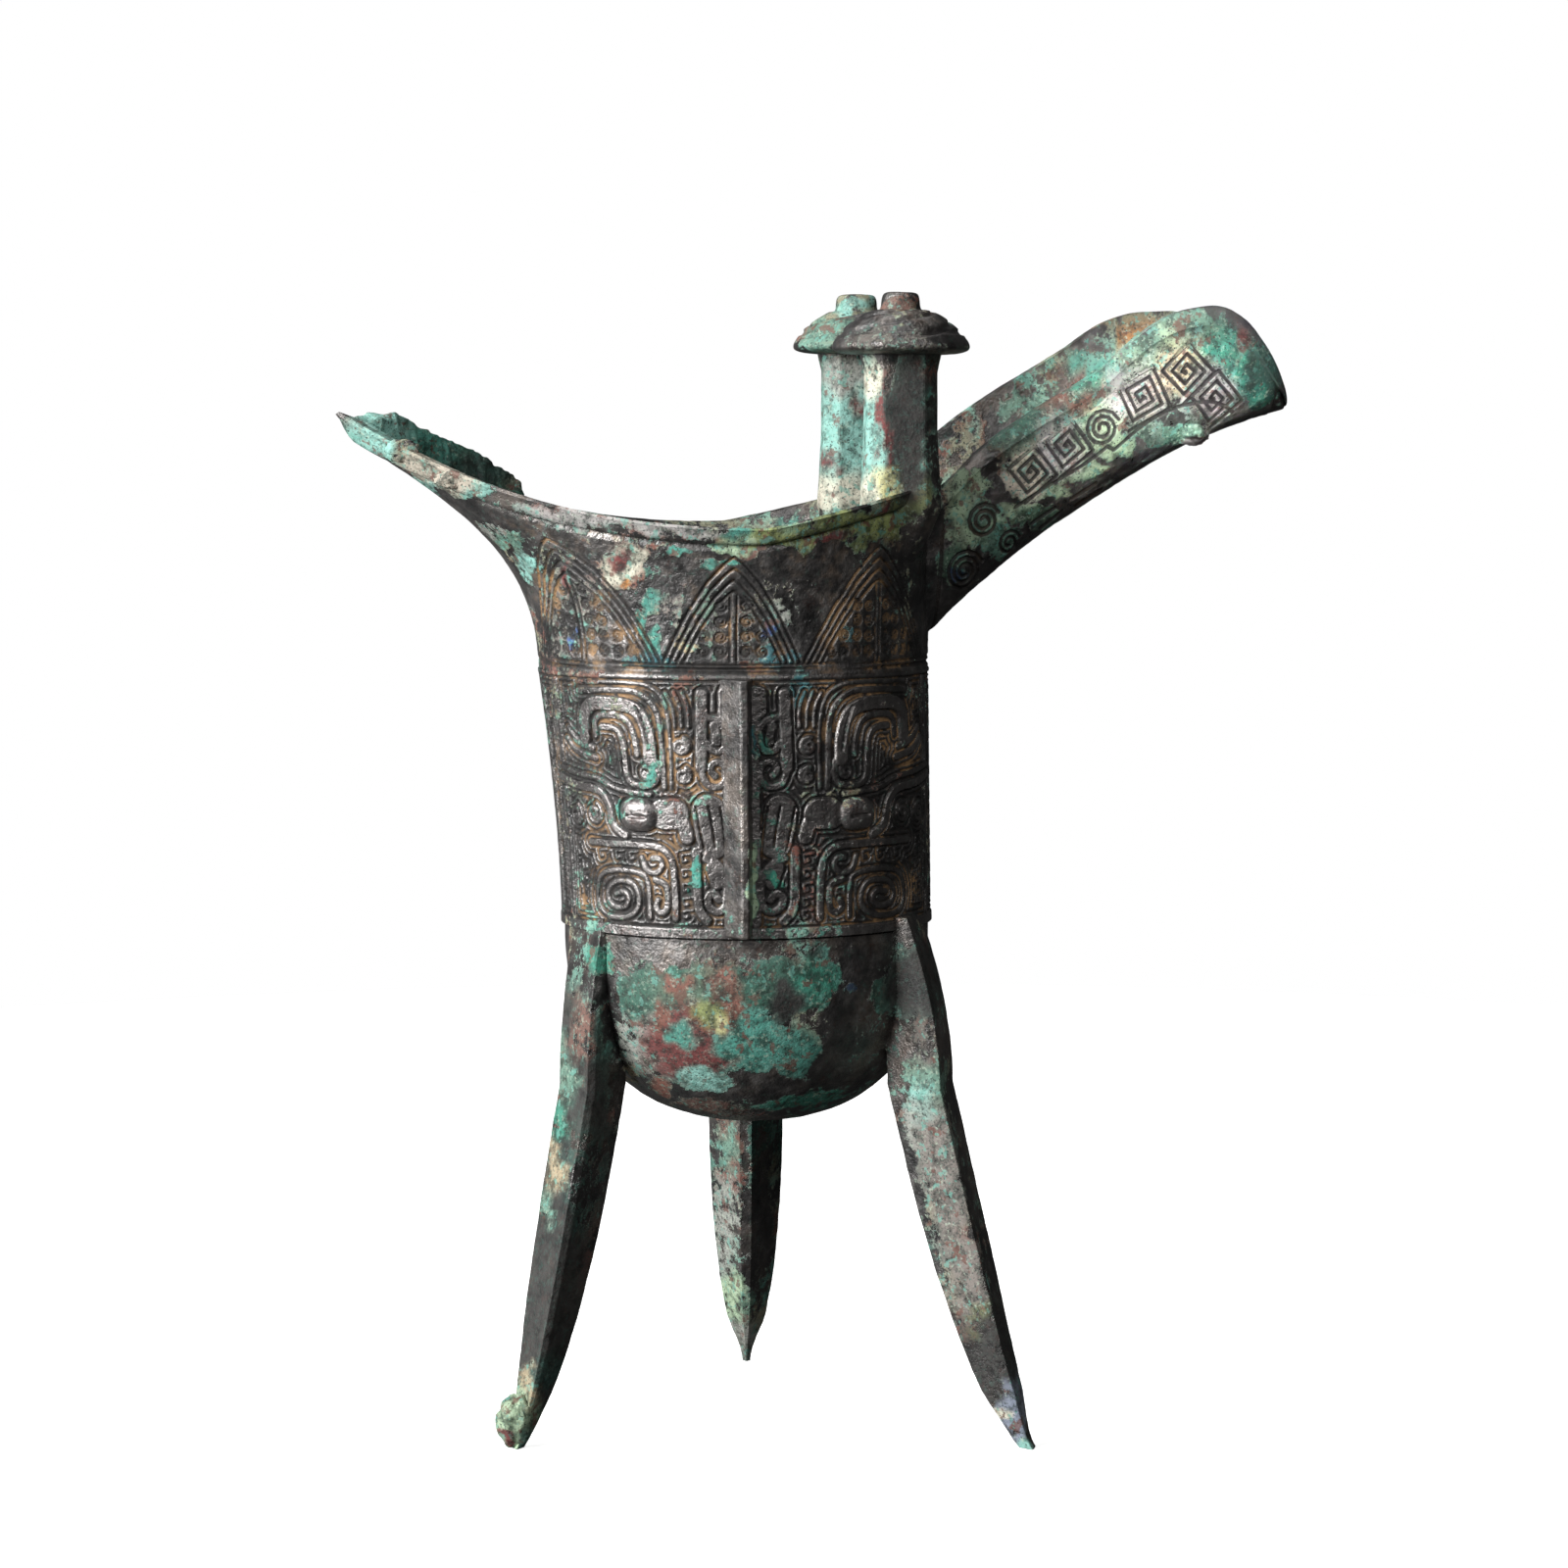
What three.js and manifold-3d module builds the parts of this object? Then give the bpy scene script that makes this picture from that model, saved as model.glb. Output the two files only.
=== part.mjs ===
// Bronze jue wine cup: a deep oval cup on three blade legs, with a pouring spout toward +X, a pointed
// tail toward -X, two capped posts at the root of the spout and a strap handle at the back (+Y).
// It was cast in one pour, so it is one solid. Millimetres, +Z up, the feet stand on z = 0.
import * as THREE from "three";
import { mergeVertices } from "three/addons/utils/BufferGeometryUtils.js";
import Module from "manifold-3d";

const wasm = await Module();
wasm.setup();

// Cup: half widths of the oval section toward the tail, the spout and the sides.
const WALL = 2;
const BOWL = { bottom: 53, top: 85, roundness: 2.4, drift: 1.5 };
const BAND = { bottom: 87.5, top: 131.5, proud: 0.4, bevel: 0.3, tailSweep: 1.6 };
const GIRTH_LOW = { tail: 31.1, spout: 31.9, side: 28.4 };
const GIRTH_HIGH = { tail: 35, spout: 31.3, side: 29.4 };

// Rim: lowest at the sides, rising to the spout and to the point of the tail.
const RIM = {
  half: 34.5,
  tailHalf: 36.5,
  sideHeight: 156,
  tailReach: 33.2,
  tailTaper: 2.4,
  tailRise: 19.2,
  tailSweep: 2.6,
  spoutRise: 8.5,
  spoutSweep: 1.1,
  dip: 150,
};

// Lip band: how high it is, how far it leans out and how far it stands proud, more at the tail.
const LIP = { height: 2.8, lean: 0.8, proud: 0.8, tailHeight: 2.8, tailLean: 0.7 };
const NECK = { lowOut: 0.02, lowUp: 0.5, highOut: 0.43, highUp: 0.71, rows: 5 };

// Spout: a trough whose keel and edges are heights along its own line, turned a little to the back.
const SPOUT = {
  turn: 4,
  rootHalf: 15,
  rootEnd: 30,
  rootBlend: 40,
  half: 14,
  narrowing: 83,
  tip: 96.6,
  roundness: 2.6,
  wall: 2,
  lip: 3.5,
  backRise: 4,
  backLevels: [57, 80],
};
const SPOUT_KEEL = [
  [26, 130],
  [32.2, 137.3],
  [38, 142.8],
  [49.8, 152.3],
  [64, 161.4],
  [76.1, 168.2],
  [88, 173.1],
  [96.6, 175.6],
];
const SPOUT_EDGE = [
  [26, 158.5],
  [33, 163.6],
  [38, 168.6],
  [47, 174.9],
  [59, 182.1],
  [67, 188.8],
  [72, 191.8],
  [76, 193],
  [81, 193.3],
  [85.5, 191],
  [89.2, 187.2],
  [93, 182.2],
  [96.6, 176.6],
];

// Legs: blades with a flat outer face and a narrow inner ridge, splayed to small flat feet.
const LEG = { rootHeight: 61, rootWidth: 11.3, splay: 0.8, topHeight: 90, topFade: 1.8 };
const LEGS = [
  { turn: 203, face: 203, top: 27, root: 30.1, foot: 44.5, footWidth: 3, breadth: 0.45, ridge: 0.55 },
  { turn: 328, face: 338, top: 28.2, root: 34.5, foot: 53.5, footWidth: 4.2, breadth: 0.45, ridge: 0.6 },
  { turn: 83, face: 83, top: 25, root: 27, foot: 42, footWidth: 2.7, breadth: 0.58, ridge: 0.6 },
];

// Flange, masks, handle and blades sit a few degrees round from square with the spout line.
const MOULD_TURN = 6.4;
const FRONT = 90 - MOULD_TURN;
const BACK = 270 - MOULD_TURN;
const FLANGE = { thick: 2, proud: 3.5 };
const BLADES = { first: 35.3, count: 8, apex: 151, base: 134.5, halfWidth: 9 };

// Posts and their mushroom caps.
const POST = { bottom: 157, long: 12.5, wide: 9, chamfer: 2.6, footing: 9 };
const POSTS = [
  { x: 24.3, y: -18.4, footX: 22.4, footY: -15.8, cap: 11.7, knob: 3.2, top: 184.6 },
  { x: 21.9, y: 17, footX: 21.6, footY: 16.6, cap: 11.3, knob: 3.6, top: 185.6 },
];
const CAP_HEIGHT = 10.4;

// Handle strap and the animal head on its crown, measured outward from the back wall.
const HANDLE = { width: 9, thick: 4, turn: 83, wall: 28.6 };

const degrees = Math.PI / 180;
const mix = (low, high, share) => low + (high - low) * share;
const clamp = (value, low, high) => Math.min(high, Math.max(low, value));
const point = (x, y, z) => new THREE.Vector3(x, y, z);

// A height clear of the whole cup, where the cuts for its openings end
const ABOVE = 205;

// A closed triangle mesh with its faces turned outward.
function closedMesh(points, faces) {
  let volume = 0;
  for (let i = 0; i < faces.length; i += 3) {
    const [a, b, c] = [points[faces[i]], points[faces[i + 1]], points[faces[i + 2]]];
    volume += a.dot(b.clone().cross(c));
  }
  const outward = volume > 0 ? faces : faces.slice().reverse();
  const geometry = new THREE.BufferGeometry().setFromPoints(points);
  geometry.setIndex(outward);
  return geometry;
}

// A solid through rings of equal count, closed at both ends by a fan to a hub.
function loft(rings, firstHub, lastHub) {
  const count = rings[0].length;
  const points = rings.flat();
  const faces = [];
  for (let row = 0; row + 1 < rings.length; row++) {
    for (let i = 0; i < count; i++) {
      const a = row * count + i;
      const b = row * count + ((i + 1) % count);
      faces.push(a, b, b + count, a, b + count, a + count);
    }
  }
  const middle = (ring) => ring.reduce((sum, p) => sum.add(p), point(0, 0, 0)).divideScalar(count);
  const first = points.push(firstHub ?? middle(rings[0])) - 1;
  const last = points.push(lastHub ?? middle(rings[rings.length - 1])) - 1;
  const lastRow = (rings.length - 1) * count;
  for (let i = 0; i < count; i++) {
    const j = (i + 1) % count;
    faces.push(first, j, i, last, lastRow + i, lastRow + j);
  }
  return toSolid(closedMesh(points, faces));
}

function toSolid(geometry) {
  geometry.deleteAttribute("normal");
  geometry.deleteAttribute("uv");
  const merged = mergeVertices(geometry);
  return new wasm.Manifold(
    new wasm.Mesh({
      numProp: 3,
      vertProperties: merged.attributes.position.array,
      triVerts: new Uint32Array(merged.index.array),
    }),
  );
}

// A smooth height through a few points, as a function of the distance along the line.
function heightThrough(knots) {
  const slopes = knots.map((knot, i) => {
    const before = knots[Math.max(i - 1, 0)];
    const after = knots[Math.min(i + 1, knots.length - 1)];
    return (after[1] - before[1]) / (after[0] - before[0]);
  });
  return (x) => {
    let i = 0;
    while (i < knots.length - 2 && x > knots[i + 1][0]) i++;
    const span = knots[i + 1][0] - knots[i][0];
    const t = clamp((x - knots[i][0]) / span, 0, 1);
    const rise = 3 * t * t - 2 * t * t * t;
    const leave = t * (1 - t) * (1 - t);
    const arrive = t * t * (t - 1);
    return mix(knots[i][1], knots[i + 1][1], rise) + span * (leave * slopes[i] + arrive * slopes[i + 1]);
  };
}

// Cup surface. The ring angle runs from the tail (0) by the front (90) to the spout (180) and round.
function girth(z, inset) {
  const bottom = BOWL.bottom + inset * 1.1;
  const band = clamp((z - BAND.bottom) / (BAND.top - BAND.bottom), 0, 1);
  const lift = clamp((z - bottom) / (BOWL.top - bottom), 0, 1);
  const swell = (1 - (1 - lift) ** BOWL.roundness) ** (1 / BOWL.roundness);
  const half = (side, share) => (mix(GIRTH_LOW[side], GIRTH_HIGH[side], share) - inset) * swell;
  return {
    tail: half("tail", band ** BAND.tailSweep),
    spout: half("spout", band),
    side: half("side", band),
    middle: BOWL.drift * (1 - lift),
  };
}

function ringPoint(angle, z, inset) {
  const { tail, spout, side, middle } = girth(z, inset);
  const along = Math.cos(angle * degrees);
  return point(middle - (along > 0 ? tail : spout) * along, -side * Math.sin(angle * degrees), z);
}

// Quarter turns from the tail, the same on the front and the back.
function quarterTurns(angle) {
  return (angle % 360 > 180 ? 360 - (angle % 360) : angle % 360) / 90;
}

function rimPoint(angle, inset) {
  const along = Math.cos(angle * degrees);
  const y = -(RIM.half - inset) * Math.sin(angle * degrees);
  const quarter = quarterTurns(angle);
  if (quarter < 1) {
    const reach = (RIM.tailReach - inset) * (1 - quarter) ** RIM.tailTaper;
    const height = RIM.sideHeight + RIM.tailRise * (1 - quarter) ** RIM.tailSweep;
    return point(-(RIM.tailHalf - inset) * along - reach, y, height);
  }
  const rise = Math.sin((Math.PI / 2) * (quarter - 1)) ** RIM.spoutSweep;
  const height = RIM.sideHeight + RIM.spoutRise * rise;
  return point(-(RIM.half - inset) * along, y, height);
}

// The lower edge of the lip band, set in from the rim by the lean and a further inset.
function underLip(angle, inset) {
  const tail = Math.max(0, 1 - quarterTurns(angle)) ** 3;
  const p = rimPoint(angle, LIP.lean + LIP.tailLean * tail + inset);
  p.z -= LIP.height + LIP.tailHeight * tail;
  return p;
}

function neckCurve(angle, inset) {
  const low = ringPoint(angle, BAND.top, inset);
  const high = underLip(angle, Math.max(inset, 0) + LIP.proud);
  const out = high.clone().sub(low).setZ(0);
  const rise = high.z - low.z;
  const lowHandle = low.clone().addScaledVector(out, NECK.lowOut);
  const highHandle = low.clone().addScaledVector(out, NECK.highOut);
  lowHandle.z += NECK.lowUp * rise;
  highHandle.z += NECK.highUp * rise;
  return new THREE.CubicBezierCurve3(low, lowHandle, highHandle, high);
}

function neckPointAtHeight(angle, z) {
  const curve = neckCurve(angle, -BAND.proud);
  let low = 0;
  let high = 1;
  for (let step = 0; step < 24; step++) {
    const share = (low + high) / 2;
    if (curve.getPoint(share).z < z) low = share;
    else high = share;
  }
  return curve.getPoint(low);
}

// A point of the outer wall at a ring angle and height: bowl, raised band or neck.
function wallPoint(angle, z) {
  if (z > BAND.top) return neckPointAtHeight(angle, z);
  return ringPoint(angle, z, z > BAND.bottom ? -BAND.proud : 0);
}

// Height difference over which the wall's direction is measured
const NORMAL_STEP = 0.25;

// The same point lifted off the wall along its outward normal.
function liftedWallPoint(angle, z, lift) {
  const around = wallPoint(angle + 0.5, z).sub(wallPoint(angle - 0.5, z));
  const step = z > BAND.top ? NORMAL_STEP : -NORMAL_STEP;
  const upward = wallPoint(angle, z + step).sub(wallPoint(angle, z));
  if (upward.z < 0) upward.negate();
  const normal = around.cross(upward).normalize();
  return wallPoint(angle, z).addScaledVector(normal, lift);
}

// Columns of the cup's wall, closer together toward the point of the tail
const SIDE_COLUMNS = 17;
const columnAngle = (column) => 180 * (column / SIDE_COLUMNS) ** 1.25;
const angles = [];
for (let column = 0; column < SIDE_COLUMNS; column++) angles.push(columnAngle(column));
for (let column = SIDE_COLUMNS; column > 0; column--) angles.push(360 - columnAngle(column));

const ringAt = (z, inset) => angles.map((angle) => ringPoint(angle, z, inset));
const neckRing = (share, inset) => angles.map((angle) => neckCurve(angle, inset).getPoint(share));

function cupOutside() {
  const rings = [];
  const bowlRows = 6;
  for (let row = 1; row <= bowlRows; row++) {
    rings.push(ringAt(mix(BOWL.bottom, BOWL.top, (row / bowlRows) ** 2), 0));
  }
  rings.push(ringAt(BAND.bottom, 0));
  rings.push(ringAt(BAND.bottom + BAND.bevel, -BAND.proud));
  rings.push(ringAt((BAND.bottom + BAND.top) / 2, -BAND.proud));
  for (let row = 0; row <= NECK.rows; row++) rings.push(neckRing(row / NECK.rows, -BAND.proud));
  rings.push(angles.map((angle) => underLip(angle, 0)));
  rings.push(angles.map((angle) => rimPoint(angle, 0)));
  return loft(rings, point(BOWL.drift, 0, BOWL.bottom), point(0, 0, RIM.dip));
}

function cupHollow() {
  const rings = [];
  const bowlRows = 5;
  const floor = BOWL.bottom + WALL * 1.1;
  for (let row = 1; row <= bowlRows; row++) {
    rings.push(ringAt(mix(floor, BOWL.top, (row / bowlRows) ** 2), WALL));
  }
  for (let row = 0; row <= NECK.rows; row++) rings.push(neckRing(row / NECK.rows, WALL));
  rings.push(angles.map((angle) => rimPoint(angle, WALL).setZ(ABOVE)));
  return loft(rings, point(BOWL.drift, 0, floor), point(0, 0, ABOVE));
}

// Spout surface, in its own line.
const keelHeight = heightThrough(SPOUT_KEEL);
const edgeHeight = heightThrough(SPOUT_EDGE);

function spoutHalf(x) {
  if (x < SPOUT.narrowing) return mix(SPOUT.rootHalf, SPOUT.half, clamp((x - SPOUT.rootEnd) / SPOUT.rootBlend, 0, 1));
  const past = (x - SPOUT.narrowing) / (SPOUT.tip - SPOUT.narrowing);
  return SPOUT.half * Math.sqrt(Math.max(0, 1 - past * past));
}

function turnSpout(p) {
  return p.applyAxisAngle(point(0, 0, 1), SPOUT.turn * degrees);
}

// The back edge stands higher than the front edge, down to nothing near the tip.
function backEdgeHeight(x) {
  const [from, to] = SPOUT.backLevels;
  const fade = clamp((x - from) / (to - from), 0, 1);
  return edgeHeight(x) + SPOUT.backRise * (1 - fade * fade * (3 - 2 * fade));
}

// A U section from the front edge under the keel to the back edge.
function troughSection(x, half, floor, edges, segments) {
  const section = [];
  for (let i = 0; i <= segments; i++) {
    const swing = (Math.PI * i) / segments;
    const across = Math.abs(Math.cos(swing)) ** (2 / SPOUT.roundness) * Math.sign(Math.cos(swing));
    const down = Math.sin(swing) ** (2 / SPOUT.roundness);
    const edge = across > 0 ? edges[0] : edges[1];
    section.push(turnSpout(point(x, -half * across, edge - (edge - floor) * down)));
  }
  return section;
}

const SPOUT_STATIONS = [26, 31, 37, 44, 52, 60, 66, 71, 76, 80.5, 84.5, 88, 91, 93.5, 95.3, 96.3];

function spoutOutside() {
  const rings = SPOUT_STATIONS.map((x) => {
    const half = spoutHalf(x);
    const edges = [edgeHeight(x), backEdgeHeight(x)];
    const floor = Math.min(keelHeight(x), edges[0] - 0.6);
    const lip = Math.min(SPOUT.lip, (edges[0] - floor) * 0.4);
    const panel = Math.max(half - LIP.proud, half * 0.7);
    return [
      turnSpout(point(x, -half, edges[0])),
      turnSpout(point(x, -half, edges[0] - lip)),
      ...troughSection(x, panel, floor, edges, 12).slice(2, -2),
      turnSpout(point(x, half, edges[1] - lip)),
      turnSpout(point(x, half, edges[1])),
    ];
  });
  return loft(rings);
}

function spoutChannel() {
  const rings = SPOUT_STATIONS.map((x) => {
    const half = Math.max(spoutHalf(x) - SPOUT.wall, 1);
    const floor = keelHeight(x) + SPOUT.wall;
    const edges = [edgeHeight(x), backEdgeHeight(x)].map((edge) => Math.max(edge, floor + 1));
    return [
      ...troughSection(x, half, floor, edges, 10),
      turnSpout(point(x, half, ABOVE)),
      turnSpout(point(x, -half, ABOVE)),
    ];
  });
  return loft(rings);
}

// A point of the spout's outer side at a distance along it and a height, front (-1) or back (+1).
function spoutSidePoint(x, z, side, lift) {
  const half = spoutHalf(x) - LIP.proud;
  const edge = side < 0 ? edgeHeight(x) : backEdgeHeight(x);
  const depth = (edge - z) / (edge - keelHeight(x));
  const across = (1 - clamp(depth, 0, 1) ** SPOUT.roundness) ** (1 / SPOUT.roundness);
  const steep = clamp(depth, 0, 0.9) ** (SPOUT.roundness - 1);
  const normal = point(0, side, -steep * (half / (edge - keelHeight(x)))).normalize();
  return turnSpout(point(x, side * half * across, z).addScaledVector(normal, lift));
}

// Legs
function leg({ turn, face, top, root, foot, footWidth, breadth, ridge }) {
  const outward = point(Math.cos(face * degrees), Math.sin(face * degrees), 0);
  const sideways = point(-outward.y, outward.x, 0);
  const radial = point(Math.cos(turn * degrees), Math.sin(turn * degrees), 0);
  const rings = [];
  const rows = 11;
  for (let row = 0; row <= rows; row++) {
    const z = LEG.topHeight * (row / rows) ** 1.1;
    const share = Math.min(z / LEG.rootHeight, 1);
    const above = clamp((z - LEG.rootHeight) / (LEG.topHeight - LEG.rootHeight), 0, 1);
    const width = mix(footWidth, LEG.rootWidth, 1 - (1 - share) ** 3);
    const reach = mix(foot, root, share ** LEG.splay);
    const radius = mix(reach, top, above ** LEG.topFade);
    const corners = [
      [0.3, breadth],
      [-ridge, 0.08],
      [-ridge, -0.08],
      [0.3, -breadth],
    ];
    rings.push(
      corners.map(([out, side]) =>
        point(0, 0, z)
          .addScaledVector(radial, radius)
          .addScaledVector(outward, out * width)
          .addScaledVector(sideways, side * width),
      ),
    );
  }
  return loft(rings);
}

// Swelling of corrosion on the outer side of the left foot.
function footLump() {
  const lump = new THREE.IcosahedronGeometry(1, 1);
  lump.scale(3.1, 2.6, 4.5);
  lump.rotateZ(LEGS[0].turn * degrees);
  const out = LEGS[0].foot + 0.4;
  const { turn } = LEGS[0];
  lump.translate(out * Math.cos(turn * degrees), out * Math.sin(turn * degrees), 4.8);
  return toSolid(lump);
}

// Posts: chamfered pillars that stand on the rim and run down its inner side.
function post({ x, y, footX, footY, cap, knob, top }) {
  const section = (cx, cy, z, scale) => {
    const long = (POST.long / 2) * scale;
    const wide = (POST.wide / 2) * scale;
    const cut = POST.chamfer * scale;
    return [
      point(cx - long, cy - wide + cut, z),
      point(cx - long + cut, cy - wide, z),
      point(cx + long - cut, cy - wide, z),
      point(cx + long, cy - wide + cut, z),
      point(cx + long, cy + wide - cut, z),
      point(cx + long - cut, cy + wide, z),
      point(cx - long + cut, cy + wide, z),
      point(cx - long, cy + wide - cut, z),
    ];
  };
  const pillar = loft([
    section(footX, footY, POST.bottom - POST.footing, 0.5),
    section(mix(x, footX, 0.4), mix(y, footY, 0.4), POST.bottom - 3, 0.9),
    section(x, y, POST.bottom + 2, 1.08),
    section(x, y, POST.bottom + 14, 0.97),
    section(x, y, top - 3, 0.96),
    section(x, y, top + 1, 1.1),
  ]);
  const profile = [
    [0, 0],
    [cap - 3.5, 0],
    [cap - 0.5, 0.5],
    [cap, 1.4],
    [cap - 1.1, 3],
    [cap - 2.7, 4.5],
    [cap - 5.6, 6.1],
    [knob + 0.4, 7.4],
    [knob, 8.2],
    [knob * 0.85, CAP_HEIGHT - 0.4],
    [0, CAP_HEIGHT],
  ].map(([radius, rise]) => new THREE.Vector2(radius, top + rise));
  const mushroom = new THREE.LatheGeometry(profile, 16);
  mushroom.rotateX(90 * degrees);
  mushroom.translate(x, y, 0);
  return pillar.add(toSolid(mushroom));
}

// Handle: a strap bent out from the back wall, with an ox-like head on its crown.
const handleOut = point(Math.cos(HANDLE.turn * degrees), Math.sin(HANDLE.turn * degrees), 0);
const handleSide = point(-handleOut.y, handleOut.x, 0);

function handlePoint(out, side, z) {
  return point(0, 0, z).addScaledVector(handleOut, HANDLE.wall + out).addScaledVector(handleSide, side);
}

function handleStrap() {
  const line = new THREE.SplineCurve(
    [
      [-0.9, 123],
      [7, 126],
      [16, 123.5],
      [20.5, 114],
      [18.5, 102],
      [10, 94],
      [-0.9, 91],
    ].map(([out, z]) => new THREE.Vector2(out, z)),
  );
  const rings = [];
  const steps = 18;
  for (let step = 0; step <= steps; step++) {
    const centre = line.getPoint(step / steps);
    const along = line.getTangent(step / steps);
    const half = HANDLE.width / 2;
    const thick = HANDLE.thick / 2;
    const section = [
      [-half, -thick],
      [half, -thick],
      [half, thick * 0.4],
      [half * 0.55, thick],
      [-half * 0.55, thick],
      [-half, thick * 0.4],
    ];
    rings.push(
      section.map(([side, lift]) => handlePoint(centre.x - along.y * lift, side, centre.y + along.x * lift)),
    );
  }
  return loft(rings);
}

function handleHead() {
  const stations = [
    [3, 124, 5, 4],
    [6, 125.5, 7.4, 6],
    [11, 126, 7, 6.2],
    [16, 122.5, 5.2, 5.4],
    [20, 118.5, 5, 4.2],
    [22, 116.5, 3.6, 2.8],
  ];
  const rings = stations.map(([out, z, half, tall]) => {
    const ring = [];
    for (let i = 0; i < 8; i++) {
      const swing = (2 * Math.PI * i) / 8;
      const side = half * Math.sign(Math.cos(swing)) * Math.abs(Math.cos(swing)) ** 0.7;
      ring.push(handlePoint(out, side, z + tall * Math.sin(swing)));
    }
    return ring;
  });
  let head = loft(rings);
  for (const side of [-1, 1]) {
    const horn = [
      [9, 3.5, 130, 1.7],
      [8, 6.5, 132.5, 1.5],
      [6.5, 8.6, 134.5, 1.1],
      [5.5, 8.4, 137, 0.5],
    ].map(([out, across, z, radius]) => {
      const ring = [];
      for (let i = 0; i < 6; i++) {
        const swing = (2 * Math.PI * i) / 6;
        ring.push(handlePoint(out + radius * Math.cos(swing), side * (across + radius * Math.sin(swing)), z));
      }
      return ring;
    });
    const eye = new THREE.IcosahedronGeometry(1.9, 0);
    const seat = handlePoint(15.5, side * 4.2, 126);
    eye.translate(seat.x, seat.y, seat.z);
    head = head.add(loft(horn)).add(toSolid(eye));
  }
  return head;
}

// Front flange
function flange() {
  const rings = [BAND.bottom + 0.5, (BAND.bottom + BAND.top) / 2, BAND.top - 0.5].map((z) => {
    const share = FLANGE.thick / 2;
    return [
      wallPointBeside(FRONT, -share, z, -1),
      wallPointBeside(FRONT, share, z, -1),
      wallPointBeside(FRONT, share * 0.8, z, FLANGE.proud),
      wallPointBeside(FRONT, -share * 0.8, z, FLANGE.proud),
    ];
  });
  return loft(rings);
}

// The ring angle at a distance along the wall from a given angle, stepped at mid band height.
function angleBeside(centre, distance) {
  const z = (BAND.bottom + BAND.top) / 2;
  const steps = Math.ceil(Math.abs(distance)) || 1;
  let angle = centre;
  for (let step = 0; step < steps; step++) {
    const speed = ringPoint(angle + 0.5, z, 0).distanceTo(ringPoint(angle - 0.5, z, 0));
    angle += distance / steps / speed;
  }
  return angle;
}

function wallPointBeside(centre, distance, z, lift) {
  return liftedWallPoint(angleBeside(centre, distance), z, lift);
}

// A raised strip along a path on a surface: place(u, v, lift) gives the point on it.
const STRIP_DEPTH = 0.7;
const STRIP_STEP = 9;

function strip(path, width, height, place) {
  const line = [path[0]];
  for (let i = 1; i < path.length; i++) {
    const [u0, v0] = path[i - 1];
    const [u1, v1] = path[i];
    const cuts = Math.max(1, Math.ceil(Math.abs(u1 - u0) / STRIP_STEP));
    for (let cut = 1; cut <= cuts; cut++) line.push([mix(u0, u1, cut / cuts), mix(v0, v1, cut / cuts)]);
  }
  const heading = (from, to) => {
    const length = Math.hypot(to[0] - from[0], to[1] - from[1]);
    return [(to[0] - from[0]) / length, (to[1] - from[1]) / length];
  };
  const rings = line.map(([u, v], i) => {
    const before = heading(line[Math.max(i - 1, 0)], line[Math.max(i, 1)]);
    const after = heading(line[Math.min(i, line.length - 2)], line[Math.min(i + 1, line.length - 1)]);
    const across = [-(before[1] + after[1]), before[0] + after[0]];
    const size = Math.hypot(...across);
    const mitre = clamp(2 / size, 1, 1.5) / size;
    const at = (share, lift) => {
      const reach = share * width * mitre;
      return place(u + across[0] * reach, v + across[1] * reach, lift);
    };
    return [at(-0.5, -STRIP_DEPTH), at(0.5, -STRIP_DEPTH), at(0.38, height), at(-0.38, height)];
  });
  return loft(rings);
}

// A square meander that winds in to its centre.
function squareSpiral(u, v, half, pitch, turn) {
  const path = [];
  const corners = Math.round((half / pitch) * 4);
  for (let corner = 0; corner <= corners; corner++) {
    const size = half - (corner * pitch) / 4;
    const quarter = corner + turn;
    const signU = [1, 1, -1, -1][quarter % 4];
    const signV = [-1, 1, 1, -1][quarter % 4];
    path.push([u + signU * size, v + signV * size]);
  }
  return path;
}

function roundSpiral(u, v, radius, turns, start) {
  const path = [];
  const steps = Math.round(turns * 6);
  for (let step = 0; step <= steps; step++) {
    const swing = start + (2 * Math.PI * turns * step) / steps;
    const reach = radius * (1 - (0.75 * step) / steps);
    path.push([u + reach * Math.cos(swing), v + reach * Math.sin(swing)]);
  }
  return path;
}

function boss(u, v, halfU, halfV, height, place) {
  const rings = [
    [1, -STRIP_DEPTH],
    [1, height * 0.25],
    [0.7, height * 0.8],
  ].map(([share, lift]) => {
    const ring = [];
    for (let i = 0; i < 8; i++) {
      const swing = (2 * Math.PI * i) / 8;
      ring.push(place(u + halfU * share * Math.cos(swing), v + halfV * share * Math.sin(swing), lift));
    }
    return ring;
  });
  return loft(rings, undefined, place(u, v, height));
}

// One half of an animal mask. Distances run along the wall from the mask's centre line.
const MASK = {
  nose: { width: 2, height: 0.9, path: [[2.7, 91], [2.7, 129]] },
  crest: { width: 1.5, height: 0.9, path: [[5.6, 128], [5.6, 114.8], [7.8, 113.6], [8.6, 117.5]] },
  horn: {
    width: 2,
    height: 1.1,
    path: [[30.5, 116], [30.5, 126.5], [27, 128.6], [20, 128.4], [16, 125], [14.3, 119], [14.3, 113.5], [18.6, 114]],
  },
  corner: { width: 3, height: 0.9, path: [[14.6, 108.4], [11.5, 108.2], [10.4, 105]] },
  snout: {
    width: 1.7,
    height: 1,
    path: [[8.5, 111], [5.4, 109.6], [4.9, 98], [6, 92.4], [8.4, 93], [8.3, 97.2]],
  },
  jaw: { width: 1.5, height: 0.9, path: [[24, 103.4], [14, 103.4], [12, 100], [11.5, 91]] },
  column: { width: 1.6, height: 0.8, path: [[37.5, 91], [37.5, 129]] },
};
const EYE = { u: 18.8, z: 108.3, halfU: 3.6, halfZ: 2.9, height: 1.7 };

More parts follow.
